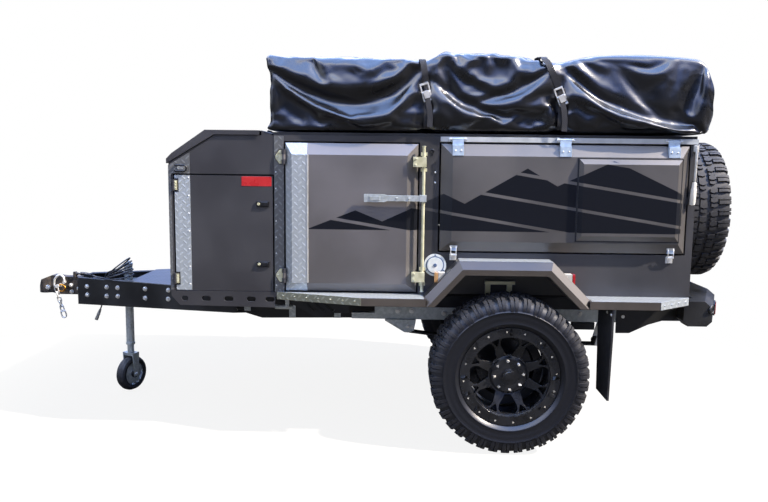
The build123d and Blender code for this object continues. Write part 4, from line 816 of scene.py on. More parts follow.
body_coat = weathered("textured_charcoal_powder_coat", ("#33343a", "#3c3d42"), (0.36, 0.5), (1.4, 0.05),
                      320.0)
side_coat = weathered("textured_charcoal_side_coat", ("#37383d", "#404146"), (0.36, 0.5), (1.4, 0.05), 320.0)
print_ridges(side_coat)
door_greys = ("#6f6c6a", "#7d7977")
door_coat = weathered("warm_grey_metallic_coat", door_greys, (0.46, 0.56), (1.4, 0.04), 380.0, metallic=0.65)
plain_door_coat = weathered("plain_warm_grey_metallic_coat", door_greys, (0.46, 0.56), (1.4, 0.04), 380.0,
                            metallic=0.65)
print_ridges(door_coat)
dress(body_coat, "roof_panel", "rear_frame", "bulkhead", "nose_box", "nose_lid", "nose_door_left",
      "nose_door_right")
dress(side_coat, "side_panel_left", "side_panel_right")
hatch_coat = weathered("warm_grey_hatch_coat", ("#5c5a58", "#6a6764"), (0.46, 0.56), (1.4, 0.05), 300.0,
                       metallic=0.65)
print_ridges(hatch_coat)
dress(door_coat, "side_door_left", "side_door_right")
dress(hatch_coat, "hatch_left", "hatch_right")
dress(plain_door_coat, "tail_door")
dress(weathered("grey_floor_lining_paint", ("#3d3e40", "#4a4b4d"), (0.5, 0.65), (2.0, 0.1), 200.0),
      "floor_pan")


# Nose locker: two compression latches and a small red plate on each door, pale hinge leaves on black rubber,
# and a bent-bar catch for the lid on each side. The plates are blank.
seal_rubber = weathered("black_epdm_door_seal", ("#0f0f10", "#1a1a1b"), (0.5, 0.66), (1.0, 0.05), 40.0)


def mirrored(side, points):
    """Left-hand points, or their mirror image for the right-hand side."""
    return [(x, y if side < 0 else -y, z) for x, y, z in points]


sides = (("left", left), ("right", right))
black_plastic = weathered("moulded_black_latch_plastic", ("#0d0d0e", "#161617"), (0.3, 0.42), (1.0, 0.03),
                          30.0)
pale_steel = weathered("pale_passivated_steel", ("#c3c4a6", "#d8d9c0"), (0.34, 0.46), (1.2, 0.04), 25.0,
                       metallic=0.3)
red_enamel = weathered("blank_red_enamel_plate", ("#b3222a", "#c22c32"), (0.25, 0.35), (1.5, 0.02), 60.0,
                       coat=0.4)


def add_rivet(work, centre, axis, radius):
    """A domed rivet head."""
    dome = [(radius * math.cos(a), radius * 0.6 * math.sin(a)) for a in (0, 0.5, 1.0)]
    add_turned(work, centre, axis, [*dome, (0, radius * 0.6)], 12)


latch_x, latch_heights = -1217, (905, 1203)
door_hinge_heights = (851, 1434)
hinge_places = ((-1646, 1291), (-1646, 828))
for name, side in sides:
    door = "nose_door_" + name
    work = bmesh.new()
    for z in latch_heights:
        for low, high, depth, half in ((-31, 31, 8, 14), (-8, 26, 11, 9)):
            add_block(work, (latch_x + low, latch_x + high), (side * body_side, side * (body_side + depth)),
                      (z - half, z + half))
    set_mesh("nose_latches_" + name, work, door, black_plastic, bevel_mm=2.0)
    work = bmesh.new()
    for z in latch_heights:
        add_turned(work, (latch_x - 20, side * 788, z), (0, side, 0),
                   [(7.5, -1), (7.5, 2.2), (6.4, 3), (3, 3), (2.6, 2.2), (0, 2.2)], 24)
    for x, z in hinge_places:
        add_block(work, (x - 12, x + 8), (side * 782, side * 788.5), (z - 23, z + 23))
        for dz in (-14, 0, 14):
            add_rivet(work, (x + 1, side * 788.5, z + dz), (0, side, 0), 3)
    set_mesh("nose_door_fittings_" + name, work, door, pale_steel, bevel_mm=0.8)
    work = bmesh.new()
    for x, z in hinge_places:
        add_block(work, (x - 6, x + 14), (side * 782, side * 784.2), (z - 33, z + 33))
    set_mesh("nose_hinge_rubbers_" + name, work, door, seal_rubber, bevel_mm=0.8)
    work = bmesh.new()
    add_block(work, (-1321, -1174), (side * 779.5, side * 781.6), (1290, 1337))
    set_mesh("red_plate_" + name, work, door, red_enamel, bevel_mm=0.7)
    work = bmesh.new()
    hoop = [(-1642, 1388), (-1600, 1388), (-1591, 1383), (-1588, 1374), (-1591, 1365), (-1600, 1360),
            (-1642, 1360)]
    add_bar(work, mirrored(side, [(x, -792, z) for x, z in hoop]), 4.4, 12)
    for z in (1360, 1388):
        add_bar(work, mirrored(side, [(-1642, -779, z), (-1642, -794, z)]), 5.5, 12)
    set_mesh("lid_catch_hoop_" + name, work, "chassis", black_plastic, sharp=60)
    work = bmesh.new()
    add_block(work, (-1634, -1602), (side * 781, side * 789), (1366, 1383))
    set_mesh("lid_catch_tongue_" + name, work, "chassis", bright_zinc, bevel_mm=2.5)
    work = bmesh.new()
    for z in range(800, 1330, 88):
        add_rivet(work, (-1583, side * 782, z), (0, side, 0), 4)
    set_mesh("nose_strip_rivets_" + name, work, door, bright_zinc)
    work = bmesh.new()
    for z in range(800, 1520, 80):
        if min(abs(z - height) for height in door_hinge_heights) > 45:
            add_rivet(work, (-1152, side * 782, z), (0, side, 0), 3.6)
    set_mesh("corner_strip_rivets_" + name, work, "chassis", bright_zinc)


# Side doors: pressed steel pans, with a bright edge where the chequer plate ends, five-sided hinge leaves on
# black rubber, and a full-height locking bar in pale passivated steel with a long bright lever.
door_face = body_side + 30
for name, side in sides:
    door = "side_door_" + name
    work = bmesh.new()
    add_plate(work, mirrored(side, [(-997, -door_face - 0.5, 819), (-989, -door_face - 0.5, 819),
                                    (-989, -door_face - 0.5, 1446), (-997, -door_face - 0.5, 1446)]),
              (0, side * 3.4, 0))
    set_mesh("door_edge_trim_" + name, work, door, bright_zinc, bevel_mm=1.0)
    for kind, grow, low, high, finish, slot in (("rubber", 4.5, 781.5, 784.5, seal_rubber, "rubber"),
                                                ("leaf", 0.0, 784, 787, pale_steel, "bright_steel")):
        work = bmesh.new()
        for z in door_hinge_heights:
            shape = [(-1119 + grow / 2, z + 33 + grow), (-1134, z + 33 + grow), (-1153 - grow, z + 6),
                     (-1153 - grow, z - 6), (-1134, z - 33 - grow), (-1119 + grow / 2, z - 33 - grow)]
            add_plate(work, mirrored(side, [(x, -low, h) for x, h in shape]), (0, side * (high - low), 0))
            if kind == "leaf":
                for dx, dz in ((-12, 20), (-12, -20), (-24, 0)):
                    add_bolt(work, (-1119 + dx, side * 787, z + dz), (0, side, 0), 8, 3.5)
        set_mesh(f"door_hinge_{kind}_{name}", work, "chassis", finish, bevel_mm=0.7)
    work = bmesh.new()
    rod_y = side * 812
    add_turned(work, (-430, rod_y, 782), (0, 0, 1), [(0, 0), (9.5, 0), (9.5, 4), (7.8, 6), (7.8, 706),
                                                     (9.5, 708), (9.5, 712), (0, 712)], 24)
    for z in (856, 1417):
        add_block(work, (-482, -457), (side * 781, side * 826), (z - 24, z + 24))
        add_block(work, (-457.5, -418), (side * 798, side * 826), (z - 24, z + 24))
        for dz in (-14, 14):
            add_bolt(work, (-469, side * 826, z + dz), (0, side, 0), 9, 3.5)
        for z_range in ((z - 46, z - 30), (z + 30, z + 46)):
            add_block(work, (-444, -414), (side * body_side, side * 797), z_range)
    lock_bar = set_mesh("door_lock_bar_" + name, work, door, pale_steel, bevel_mm=1.6)
    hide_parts("door_lock_" + name)
    work = bmesh.new()
    lever = [(-717, 1223), (-620, 1223), (-604, 1228), (-420, 1228), (-420, 1256), (-604, 1256), (-620, 1261),
             (-717, 1261)]
    add_plate(work, mirrored(side, [(x, -829, z) for x, z in lever]), (0, side * 13, 0))
    add_plate(work, mirrored(side, [(-690, -826, 1232), (-640, -826, 1232), (-640, -826, 1252),
                                    (-690, -826, 1252)]), (0, side * 19, 0))
    add_block(work, (-448, -416), (side * 800, side * 843), (1226, 1258))
    for x in (-560, -500):
        add_bolt(work, (x, side * 842, 1242), (0, side, 0), 9, 3.2)
    set_mesh("door_lock_lever_" + name, work, door, galvanised, bevel_mm=2.0)


# Hatches: bevelled pans hung from a bright rail by three strap hinges, held down by two wire toggle latches.
# A black strip round the raised inner panel is painted shade: it stands for the shadow gap at the panel's
# foot.
rail_alloy = weathered("mill_finish_aluminium", ("#c6d0dc", "#d9e1ea"), (0.3, 0.38), (1.2, 0.03), 60.0,
                       metallic=0.35)
dress(rail_alloy, "hatch_rail_left", "hatch_rail_right")
# Zinc hinge straps: their pale blue is a painted reflection of the sky.
zinc_with_painted_sky = weathered("zinc_hinge_with_painted_sky_reflection", ("#a9c3e8", "#c3d8f2"), (0.34, 0.44), (1.2, 0.04), 25.0,
                      metallic=0.25)
dress(zinc_with_painted_sky, "hatch_hinges_left", "hatch_hinges_right")
toggle_places, toggle_height = (-278, 779), 962
grip_white = weathered("white_moulded_grip", ("#d5d8da", "#e6e8ea"), (0.35, 0.5), (1.0, 0.03), 30.0)
for name, side in sides:
    hatch = "hatch_" + name
    # Painted shade: a black strip for the shadow gap round the raised inner panel.
    work = bmesh.new()
    outer, inner = (309, 811, 1040, 1445), (316, 806, 1046, 1440)
    for (x0, x1), (z0, z1) in (((outer[0], outer[1]), (outer[2], inner[2])),
                               ((outer[0], outer[1]), (inner[3], outer[3])),
                               ((outer[0], inner[0]), (outer[2], outer[3])),
                               ((inner[1], outer[1]), (outer[2], outer[3]))):
        add_block(work, (x0, x1), (side * (door_face - 1), side * (door_face + 2.2)), (z0, z1))
    set_mesh("hatch_panel_painted_shadow_gap_" + name, work, hatch, seal_rubber, bevel_mm=0.8)
    work = bmesh.new()
    for x in (-266, 250, 768):
        for dx in (-14, 14):
            add_rivet(work, (x + dx, side * 813, 1474), (0, side, 0), 4.5)
    for x in toggle_places:
        add_block(work, (x - 19, x + 19), (side * 790, side * 799), (1003, 1013))
        for wire_x in (x - 13, x + 13):
            add_bar(work, mirrored(side, [(wire_x, -796, 1010), (wire_x, -806, 1000), (wire_x, -801, 966)]),
                    2.2, 8)
    set_mesh("hatch_rivets_and_catches_" + name, work, hatch, bright_zinc, sharp=50)
    work = bmesh.new()
    z = toggle_height
    for x in toggle_places:
        add_plate(work, mirrored(side, [(x - 17, -body_side, z - 24), (x + 17, -body_side, z - 24),
                                        (x + 17, -body_side, z + 8), (x - 17, -body_side, z + 8)]),
                  (0, side * 4, 0))
        add_plate(work, mirrored(side, [(x - 11, -784, z - 22), (x + 11, -784, z - 22),
                                        (x + 14, -784, z + 12), (x - 14, -784, z + 12)]), (0, side * 9, 0))
        add_bar(work, mirrored(side, [(x - 17, -799, z + 4), (x + 17, -799, z + 4)]), 3.2, 10)
        for dx in (-12, 12):
            add_bolt(work, (x + dx, side * 784, z - 19), (0, side, 0), 6, 2.5)
    set_mesh("toggle_bases_" + name, work, "chassis", bright_zinc, bevel_mm=1.2)
    work = bmesh.new()
    add_turned(work, (-390, side * body_side, 1470), (0, side, 0),
               [(11, -1), (11, 2), (9, 3), (4, 3), (4, 1), (0, 1)], 24)
    add_block(work, (-394, -386), (side * body_side, side * 783), (1448, 1464))
    set_mesh("post_keyhole_" + name, work, "chassis", black_plastic, bevel_mm=0.5)
    work = bmesh.new()
    for z in (1318, 1368):
        add_rivet(work, (-373, side * body_side, z), (0, side, 0), 5)
    add_block(work, (866, 890), (side * body_side, side * 792), (1480, 1512))
    add_bar(work, mirrored(side, [(878, -794, 1508), (877, -797, 1440), (875, -800, 1360),
                                  (873, -798, 1330)]), 6.5, 12, taper=[7, 6, 6, 5])
    add_bolt(work, (878, side * 792, 1496), (0, side, 0), 13, 6)
    set_mesh("corner_lever_" + name, work, "chassis", bright_zinc, bevel_mm=0.8)
    work = bmesh.new()
    add_turned(work, (873, side * 798, 1336), (-0.03, 0, -1),
               [(0, 0), (9, 0), (11, 6), (12, 30), (14, 34), (14, 100), (12, 110), (0, 112)], 14)
    set_mesh("corner_lever_grip_" + name, work, "chassis", grip_white, bevel_mm=1.0)
    work = bmesh.new()
    add_bar(work, mirrored(side, [(868, -797, 1340), (860, -795, 1300), (848, -790, 1240),
                                  (838, -785, 1206)]), 4.5, 10)
    set_mesh("corner_lever_lanyard_" + name, work, "chassis", gland_black, sharp=60)


# Flares and steps: folded sheet in the warm grey coat. Chequer plate is riveted on the steps, on the flares'
# tops and on the slanted lips at both ends. Grit has dulled the front lips.
arch_bottom, arch_top = (-369.0, 325.0, 729.0), (-227.0, 170.0, 884.0)
step_top, step_lip = 766.0, 38.0


def arch_outline(grow, floor):
    """The wheel arch seen from the side, enlarged by grow and carried down to a height."""
    rise = arch_top[2] - arch_bottom[2]
    slopes = [(arch_top[k] - arch_bottom[k]) / rise for k in (0, 1)]
    runs = [-math.hypot(1, slopes[0]) * grow, math.hypot(1, slopes[1]) * grow]
    top = arch_top[2] + grow
    spots = [[arch_bottom[k] + slopes[k] * (z - arch_bottom[2]) + runs[k] for z in (floor, top)]
             for k in (0, 1)]
    return [(spots[0][0], floor), (spots[0][1], top), (spots[1][1], top), (spots[1][0], floor)]


flare_coat = weathered("warm_grey_flare_coat", ("#403d3c", "#4e4a48"), (0.3, 0.44), (1.4, 0.05), 300.0)
dress(flare_coat, "flare_left", "flare_right")
worn_tread_plate = chequer_plate("sand_worn_chequer_plate", ("#87897a", "#b9bba8"))
flare_rim = 63.0
(foot_front, _), (top_front, flare_z), (top_rear, _), (foot_rear, _) = arch_outline(flare_rim, step_top)
inner_y, step_y, flare_y = -782, -919, -885
front_lip, rear_lip = ((-1150, -780), (-723, -920)), ((704, -920), (888, -780))
for name, side in sides:
    work = bmesh.new()
    for corners in ([(-1148, inner_y), (-723, step_y), (foot_front - 1, step_y), (foot_front - 1, inner_y)],
                    [(foot_rear + 1, inner_y), (foot_rear + 1, step_y), (704, step_y), (886, inner_y)]):
        add_plate(work, mirrored(side, [(x, y, step_top) for x, y in corners]), (0, 0, 1.8))
    add_plate(work, mirrored(side, [(top_front + 1, inner_y, flare_z), (top_front + 1, flare_y, flare_z),
                                    (top_rear - 1, flare_y, flare_z), (top_rear - 1, inner_y, flare_z)]),
              (0, 0, 1.6))
    work_lip = bmesh.new()
    for ((x0, y0), (x1, y1)), rivets, work_end in ((front_lip, 7, work_lip), (rear_lip, 4, work)):
        along = Vector((x1 - x0, y1 - y0, 0))
        out = Vector((along.y, -along.x, 0)).normalized()
        out = out if out.y < 0 else -out
        ends = [Vector((x0, y0, 0)) + out * 0.2, Vector((x1, y1, 0)) + out * 0.2]
        low, high = step_top - step_lip + 1, step_top + 1.5
        corners = [(ends[0].x, ends[0].y, low), (ends[1].x, ends[1].y, low), (ends[1].x, ends[1].y, high),
                   (ends[0].x, ends[0].y, high)]
        shift = out * 1.8
        add_plate(work_end, mirrored(side, corners), (shift.x, shift.y * -side, 0))
        for k in range(rivets):
            spot = ends[0].lerp(ends[1], (k + 0.5) / rivets) + out * 2
            middle = mirrored(side, [(spot.x, spot.y, (low + high) / 2)])[0]
            add_rivet(work_end, middle, (out.x, out.y * -side, 0), 5)
    set_mesh("step_front_lip_" + name, work_lip, "chassis", worn_tread_plate, bevel_mm=0.5)
    set_mesh("step_chequer_" + name, work, "chassis", tread_plate, bevel_mm=0.5)


# Lamps: moulded lenses, ribbed inside, amber at the front and red at the back, in pale grey housings. The
# tail lamps stand on the bumper's slanted ends in black frames.
def lens(name, colour):
    """A translucent coloured acrylic lens with fine prisms inside, drawn 3 mm apart."""
    finish, tree, shader, spot = new_finish(name)
    prisms = add_node(tree, "ShaderNodeTexWave", {"Vector": spot, "Scale": 52.0, "Distortion": 0.0})
    tone = mix_colours(tree, prisms.outputs["Fac"], linear(colour[0]), linear(colour[1]))
    bump = add_node(tree, "ShaderNodeBump", {"Height": prisms.outputs["Fac"], "Distance": 0.0006})
    set_inputs(tree, shader, {"Base Color": tone.outputs[2], "Normal": bump.outputs[0], "Roughness": 0.12,
                              "IOR": 1.49, "Transmission Weight": 0.15, "Coat Weight": 0.6})
    return finish


amber_lens = lens("pale_amber_acrylic_lens", ("#b98a5c", "#dcb88c"))
red_lens = lens("red_acrylic_lens", ("#8e0c10", "#d0202a"))
housing_grey = weathered("pale_grey_lamp_housing", ("#b9bcc0", "#cfd2d6"), (0.35, 0.5), (1.0, 0.03), 20.0)
work_amber, work_red, work_housing, work_frame = bmesh.new(), bmesh.new(), bmesh.new(), bmesh.new()
bumper_rear, bumper_end, bumper_sweep = 1222, 1045, 400
for name, side in sides:
    for work, x_range, z_base in ((work_amber, (-371, -352), 832), (work_housing, (-352, -316), 830),
                                  (work_housing, (256, 298), 830), (work_red, (298, 313), 832)):
        add_block(work, x_range, (side * 802, side * 843), (z_base + 2, 884))
    bumper_slope = Vector((bumper_rear - bumper_end, -side * bumper_sweep, 0)).normalized()
    out = Vector((-bumper_slope.y * side, bumper_slope.x * side, 0))
    lamp_middle = Vector(((bumper_rear + bumper_end) / 2, side * 500, 665))
    for work, reach, tall, low, high in ((work_frame, 65, 30, 0, 8), (work_red, 59, 25, 8, 12)):
        corners = [lamp_middle + out * low + bumper_slope * a + Vector((0, 0, b)) for a, b in
                   ((-reach, -tall), (reach, -tall), (reach, tall), (-reach, tall))]
        add_plate(work, corners, out * (high - low))
amber_markers = set_mesh("amber_marker_lenses", work_amber, "chassis", amber_lens, bevel_mm=3.0)
set_mesh("red_lamp_lenses", work_red, "chassis", red_lens, bevel_mm=2.0)
set_mesh("marker_lamp_housings", work_housing, "chassis", housing_grey, bevel_mm=2.5)
set_mesh("tail_lamp_frames", work_frame, "chassis", black_plastic, bevel_mm=1.5)
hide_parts("lamps")


# Filler: the water tank's pale moulded cap on a flange with three screws. A blue-grey ring runs round its
# middle, where the key goes in.
dress(weathered("pale_moulded_filler_plastic", ("#c9d8ea", "#dde7f2"), (0.35, 0.5), (1.2, 0.04), 25.0),
      "filler_cap")
ring_grey = weathered("blue_grey_filler_ring", ("#48608a", "#5c739a"), (0.4, 0.5), (1.0, 0.03), 20.0)
cap_x, cap_z, screw_circle = -366, 913, 49.5
work = bmesh.new()
add_turned(work, (cap_x, -792, cap_z), (0, -1, 0), [(40, -1), (40, 1.2), (45, 1.2), (45, -1)], 48)
add_turned(work, (cap_x, -797.5, cap_z), (0, -1, 0), [(9, -1), (9, 2.4), (7, 3), (2.4, 3), (2, 1), (0, 1)],
           24)
for turn in (0, 2.1, -2.1):
    angle = math.pi / 2 + turn
    add_bolt(work, (cap_x + screw_circle * math.cos(angle), -791.5, cap_z + screw_circle * math.sin(angle)),
             (0, -1, 0), 6, 2.4)
set_mesh("filler_ring_and_screws", work, "chassis", ring_grey, bevel_mm=0.4)


# Rear: a folded bumper in black enamel with two recovery eyes, rubber mud flaps on bolted strips, and the
# tail door with its seal, its lock lever and the spare wheel's carrier.
dress(chassis_enamel, "rear_bumper", "spare_carrier")
flap_rubber = weathered("black_rubber_mud_flap", ("#1f2124", "#2e2f32"), (0.5, 0.7), (3.0, 0.2), 90.0)
dress(flap_rubber, "mud_flaps")
work = bmesh.new()
for side in (left, right):
    for y in (690, 760, 830, 900):
        add_bolt(work, (479, side * y, 700 if y > 780 else 715), (-1, 0, 0), 13)
    for y in (-240, -120, 120, 240):
        add_bolt(work, (bumper_rear, y, 665), (1, 0, 0), 17)
set_mesh("flap_and_bumper_bolts", work, "chassis", bright_zinc, sharp=30)
work = bmesh.new()
for side in (left, right):
    eye = []
    for k in range(24):
        angle = 2 * math.pi * k / 24
        eye.append((1043 + 14.1 * math.cos(angle), side * (690 - 14.1 * math.cos(angle)),
                    690 + 20 * math.sin(angle)))
    add_bar(work, eye, 7, 10, closed=True)
set_mesh("recovery_eyes", work, "chassis", chassis_enamel, sharp=60)
tail_half, tail_bottom, tail_top = 692.0, 798.0, 1482.0
work = bmesh.new()
lip, lap = 6, 3
for y_range, z_range in (((-tail_half - lip, tail_half + lip), (tail_bottom - lip, tail_bottom + lap)),
                         ((-tail_half - lip, tail_half + lip), (tail_top - lap, tail_top + lip)),
                         ((-tail_half - lip, -tail_half + lap), (tail_bottom - lip, tail_top + lip)),
                         ((tail_half - lap, tail_half + lip), (tail_bottom - lip, tail_top + lip))):
    add_block(work, (864, 868), y_range, z_range)
set_mesh("tail_door_seal", work, "tail_door", seal_rubber, bevel_mm=1.0)
work = bmesh.new()
for z in (900, 1380):
    add_block(work, (890, 905), (-690, -640), (z - 26, z + 26))
    for dz in (-15, 15):
        add_bolt(work, (905, -680, z + dz), (1, 0, 0), 10, 4)
add_turned(work, (890, -656, 1140), (1, 0, 0), [(0, 0), (26, 0), (26, 6), (14, 10), (14, 22), (0, 22)], 28)
add_plate(work, [(908, -668, 1128), (908, -644, 1128), (908, -648, 1290), (908, -664, 1290)], (9, 0, 0))
set_mesh("tail_door_lock", work, "tail_door", bright_zinc, bevel_mm=1.4)


# Tent base: a board of painted plywood that lies on the roof and carries the folded tent. The paint has
# soaked in and is dull.
dress(weathered("black_painted_plywood", ("#1a1a1b", "#262627"), (0.5, 0.7), (6.0, 0.2), 60.0), "tent_base")


# Tent cover: glossy black PVC-coated polyester drawn over a folded roof tent. It bulges at both ends, dips
# under two webbing straps, and its slack runs in long folds from the buckles and along its sides. The folds
# are the cloth's own: a fabric cut larger than the tent comes to rest on it, held at its hem and its straps.
tarpaulin, tree, shader, spot = new_finish("glossy_black_pvc_tarpaulin")
cloudy = add_node(tree, "ShaderNodeTexNoise", {"Vector": spot, "Scale": 5.0, "Detail": 6.0})
tone = mix_colours(tree, cloudy.outputs["Fac"], linear("#0a0b0d"), linear("#17191f"))
gloss = add_node(tree, "ShaderNodeMapRange", {0: cloudy.outputs["Fac"], 1: 0.3, 2: 0.7, 3: 0.22, 4: 0.4})
creases = add_node(tree, "ShaderNodeTexNoise", {"Vector": spot, "Scale": 11.0, "Detail": 3.0,
                                                "Distortion": 1.2},
                   noise_type="RIDGED_MULTIFRACTAL")
weave = add_node(tree, "ShaderNodeTexNoise", {"Vector": spot, "Scale": 900.0, "Detail": 1.0})
fold_bump = add_node(tree, "ShaderNodeBump", {"Height": creases.outputs["Fac"], "Distance": 0.004,
                                              "Strength": 0.5})
skin_bump = add_node(tree, "ShaderNodeBump", {"Height": weave.outputs["Fac"], "Distance": 0.00006,
                                              "Normal": fold_bump.outputs[0]})
set_inputs(tree, shader, {"Base Color": tone.outputs[2], "Roughness": gloss.outputs[0],
                          "Normal": skin_bump.outputs[0], "IOR": 1.52, "Coat Weight": 0.6,
                          "Coat Roughness": 0.16})

cover_front, cover_rear = -1200.0, 947.0
cover_bottom, cover_half, box_height, hem_height = 1556.0, 797.0, 400.0, 24.0
strap_lines = [-430.0, 212.0]
top_line = [(-1200, 1922), (-1165, 1940), (-1000, 1945), (-800, 1943), (-600, 1938), (-430, 1930),
            (-330, 1962), (-200, 1970), (-60, 1964), (80, 1938), (212, 1924), (300, 1950), (420, 1968),
            (600, 1972), (760, 1966), (880, 1952), (947, 1910)]


def read_off(line, x):
    """A smooth value between the points of a line of (x, value)."""
    for (x0, v0), (x1, v1) in zip(line, line[1:]):
        if x <= x1:
            share = min(max((x - x0) / (x1 - x0), 0), 1)
            share = share * share * (3 - 2 * share)
            return v0 + (v1 - v0) * share
    return line[-1][1]


def ridge(x, y, z):
    """A sharp-crested fold between -1 and 1."""
    return 1 - 2 * abs(noise.noise(Vector((x, y, z))))


def cover_point(place, folds=1.0, inset=0.0):
    """Moves a point of the cover's plain box onto the drawn-down cover, inset and with its first folds."""
    x, y, z = place
    share = (z - cover_bottom) / box_height
    top = read_off(top_line, x)
    side_share = min(abs(y) / cover_half, 1)
    crown = top - 16 * side_share ** 3 if share > 0.5 else top
    rounding = (16 if x < 0 else 60, 26 if x < strap_lines[0] else 40, 24 if x < strap_lines[0] else 46)
    inner_low = Vector((cover_front + rounding[0], -cover_half + rounding[1], cover_bottom + rounding[2]))
    inner_high = Vector((cover_rear - rounding[0], cover_half - rounding[1], crown - rounding[2]))
    point = Vector((x, y, cover_bottom + share * (crown - cover_bottom)))
    core = Vector([min(max(point[k], inner_low[k]), inner_high[k]) for k in range(3)])
    out = Vector([(point[k] - core[k]) / rounding[k] for k in range(3)])
    if out.length > 1e-6:
        reach = max(abs(value) for value in out)
        unit = out.normalized()
        point = core + Vector([unit[k] * rounding[k] * reach for k in range(3)])
        normal = Vector([unit[k] / rounding[k] for k in range(3)]).normalized()
    else:
        normal = Vector((0, 0, 1))
    height = (point.z - cover_bottom) / 380
    push = -inset
    for strap in strap_lines:
        push -= 16 * math.exp(-((point.x - strap) / 30) ** 2)
    middle = -110 if strap_lines[0] < point.x < strap_lines[1] else (-815 if point.x < 0 else 580)
    swag = point.z + 0.42 * (point.x - middle) + 0.0004 * (point.x - middle) ** 2
    slack = folds * (1 - 0.6 * max(normal.z, 0)) * min(1, 4 * height)
    push += 13 * slack * ridge(point.x / 900 + 3.7, swag / 150, point.y / 900)
    push += 5 * slack * ridge(point.x / 300, swag / 70, 5.1 + point.y / 500)
    return point + normal * push


def box_grid(work, x_range, y_range, z_range, step):
    """A closed box whose faces are fine grids."""
    counts = [max(2, round((high - low) / step)) for low, high in (x_range, y_range, z_range)]
    lows = [x_range[0], y_range[0], z_range[0]]
    sizes = [x_range[1] - x_range[0], y_range[1] - y_range[0], z_range[1] - z_range[0]]
    seen = {}

    def vertex(key):
        if key not in seen:
            seen[key] = work.verts.new([lows[k] + sizes[k] * key[k] / counts[k] for k in range(3)])
        return seen[key]

    for axis in range(3):
        a, b = [k for k in range(3) if k != axis]
        for end in (0, counts[axis]):
            for i in range(counts[a]):
                for j in range(counts[b]):
                    keys = []
                    for di, dj in ((0, 0), (1, 0), (1, 1), (0, 1)):
                        key = [0, 0, 0]
                        key[axis], key[a], key[b] = end, i + di, j + dj
                        keys.append(tuple(key))
                    work.faces.new([vertex(key) for key in keys])


def box_object(name, step, folds, inset):
    """The cover's closed box as an object in the frame, and the numbers of the points that hold it."""
    work = bmesh.new()
    box_grid(work, (cover_front, cover_rear), (-cover_half, cover_half),
             (cover_bottom, cover_bottom + box_height), step)
    held = []
    for number, vertex in enumerate(work.verts):
        x, _, z = vertex.co
        corner = x < cover_front + 2 and z > cover_bottom + box_height - 2
        under_strap = min(abs(x - strap) for strap in strap_lines) < step * 0.6
        if z < cover_bottom + hem_height or corner or under_strap:
            held.append(number)
        vertex.co = to_frame @ cover_point(vertex.co, folds, inset)
    mesh = bpy.data.meshes.new(name)
    work.to_mesh(mesh)
    work.free()
    box = bpy.data.objects.new(name, mesh)
    bpy.context.scene.collection.objects.link(box)
    return box, held


def settled_cover(step, slack, frames):
    """The cloth, cut larger than the folded tent by slack, as it comes to rest on it between its straps."""
    tent, _ = box_object("folded_tent", 70.0, 0.0, 26.0)
    cloth_box, held = box_object("slack_cover", step, 1.0, 6.0)
    tent.modifiers.new("solid", "COLLISION")
    tent.collision.thickness_outer = 0.004
    tent.collision.cloth_friction = 6.0
    cloth_box.vertex_groups.new(name="held").add(held, 1.0, "REPLACE")
    cloth = cloth_box.modifiers.new("cloth", "CLOTH")
    cloth.settings.vertex_group_mass = "held"
    cloth.settings.quality = 6
    cloth.settings.mass = 0.35
    cloth.settings.tension_stiffness = cloth.settings.compression_stiffness = 30.0
    cloth.settings.shear_stiffness = 12.0
    cloth.settings.bending_stiffness = 1.2
    cloth.settings.shrink_min = -slack
    cloth.collision_settings.distance_min = 0.004
    cloth.point_cache.frame_end = frames
    for moment in range(1, frames + 1):
        bpy.context.scene.frame_set(moment)
    rest = cloth_box.evaluated_get(bpy.context.evaluated_depsgraph_get())
    work = bmesh.new()
    work.from_mesh(rest.to_mesh())
    work.transform(to_frame.inverted())
    for box in (cloth_box, tent):
        bpy.data.objects.remove(box)
    bpy.context.scene.frame_set(1)
    return work


cloth_step, cloth_slack, frames_to_rest = 20.0, 0.055, 28
work = settled_cover(cloth_step, cloth_slack, frames_to_rest)
tent_cover = set_mesh("folded_tent_cover", work, "chassis", tarpaulin, sharp=180)
smooth = tent_cover.modifiers.new("smooth", "SUBSURF")
smooth.levels = smooth.render_levels = 1
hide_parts("tent_cover")


# Straps: two lengths of black polypropylene webbing round the cover. Each has a bright cam buckle high on
# both sides, and its tail hangs from the buckle.
webbing, tree, shader, spot = new_finish("woven_black_polypropylene_webbing")
ribs = add_node(tree, "ShaderNodeTexWave", {"Vector": spot, "Scale": 78.0, "Distortion": 0.4},
                bands_direction="DIAGONAL")
tone = mix_colours(tree, ribs.outputs["Fac"], linear("#0f0f11"), linear("#26262a"))
bump = add_node(tree, "ShaderNodeBump", {"Height": ribs.outputs["Fac"], "Distance": 0.0004})
set_inputs(tree, shader, {"Base Color": tone.outputs[2], "Normal": bump.outputs[0], "Roughness": 0.7})


def add_webbing(work, line, width_way, width, thick=1.8):
    """A flat strap along a line of points, as wide as given across width_way."""
    rows = []
    for k, here in enumerate(line):
        along = (line[min(k + 1, len(line) - 1)] - line[max(k - 1, 0)]).normalized()
        across = (Vector(width_way) - along * along.dot(Vector(width_way))).normalized()
        up = across.cross(along)
        rows.append([work.verts.new(here + across * width / 2 * a + up * thick / 2 * b)
                     for a, b in ((-1, -1), (1, -1), (1, 1), (-1, 1))])
    for low, high in zip(rows, rows[1:]):
        for n in range(4):
            work.faces.new([low[n], low[(n + 1) % 4], high[(n + 1) % 4], high[n]])
    work.faces.new(rows[0][::-1])
    work.faces.new(rows[-1])


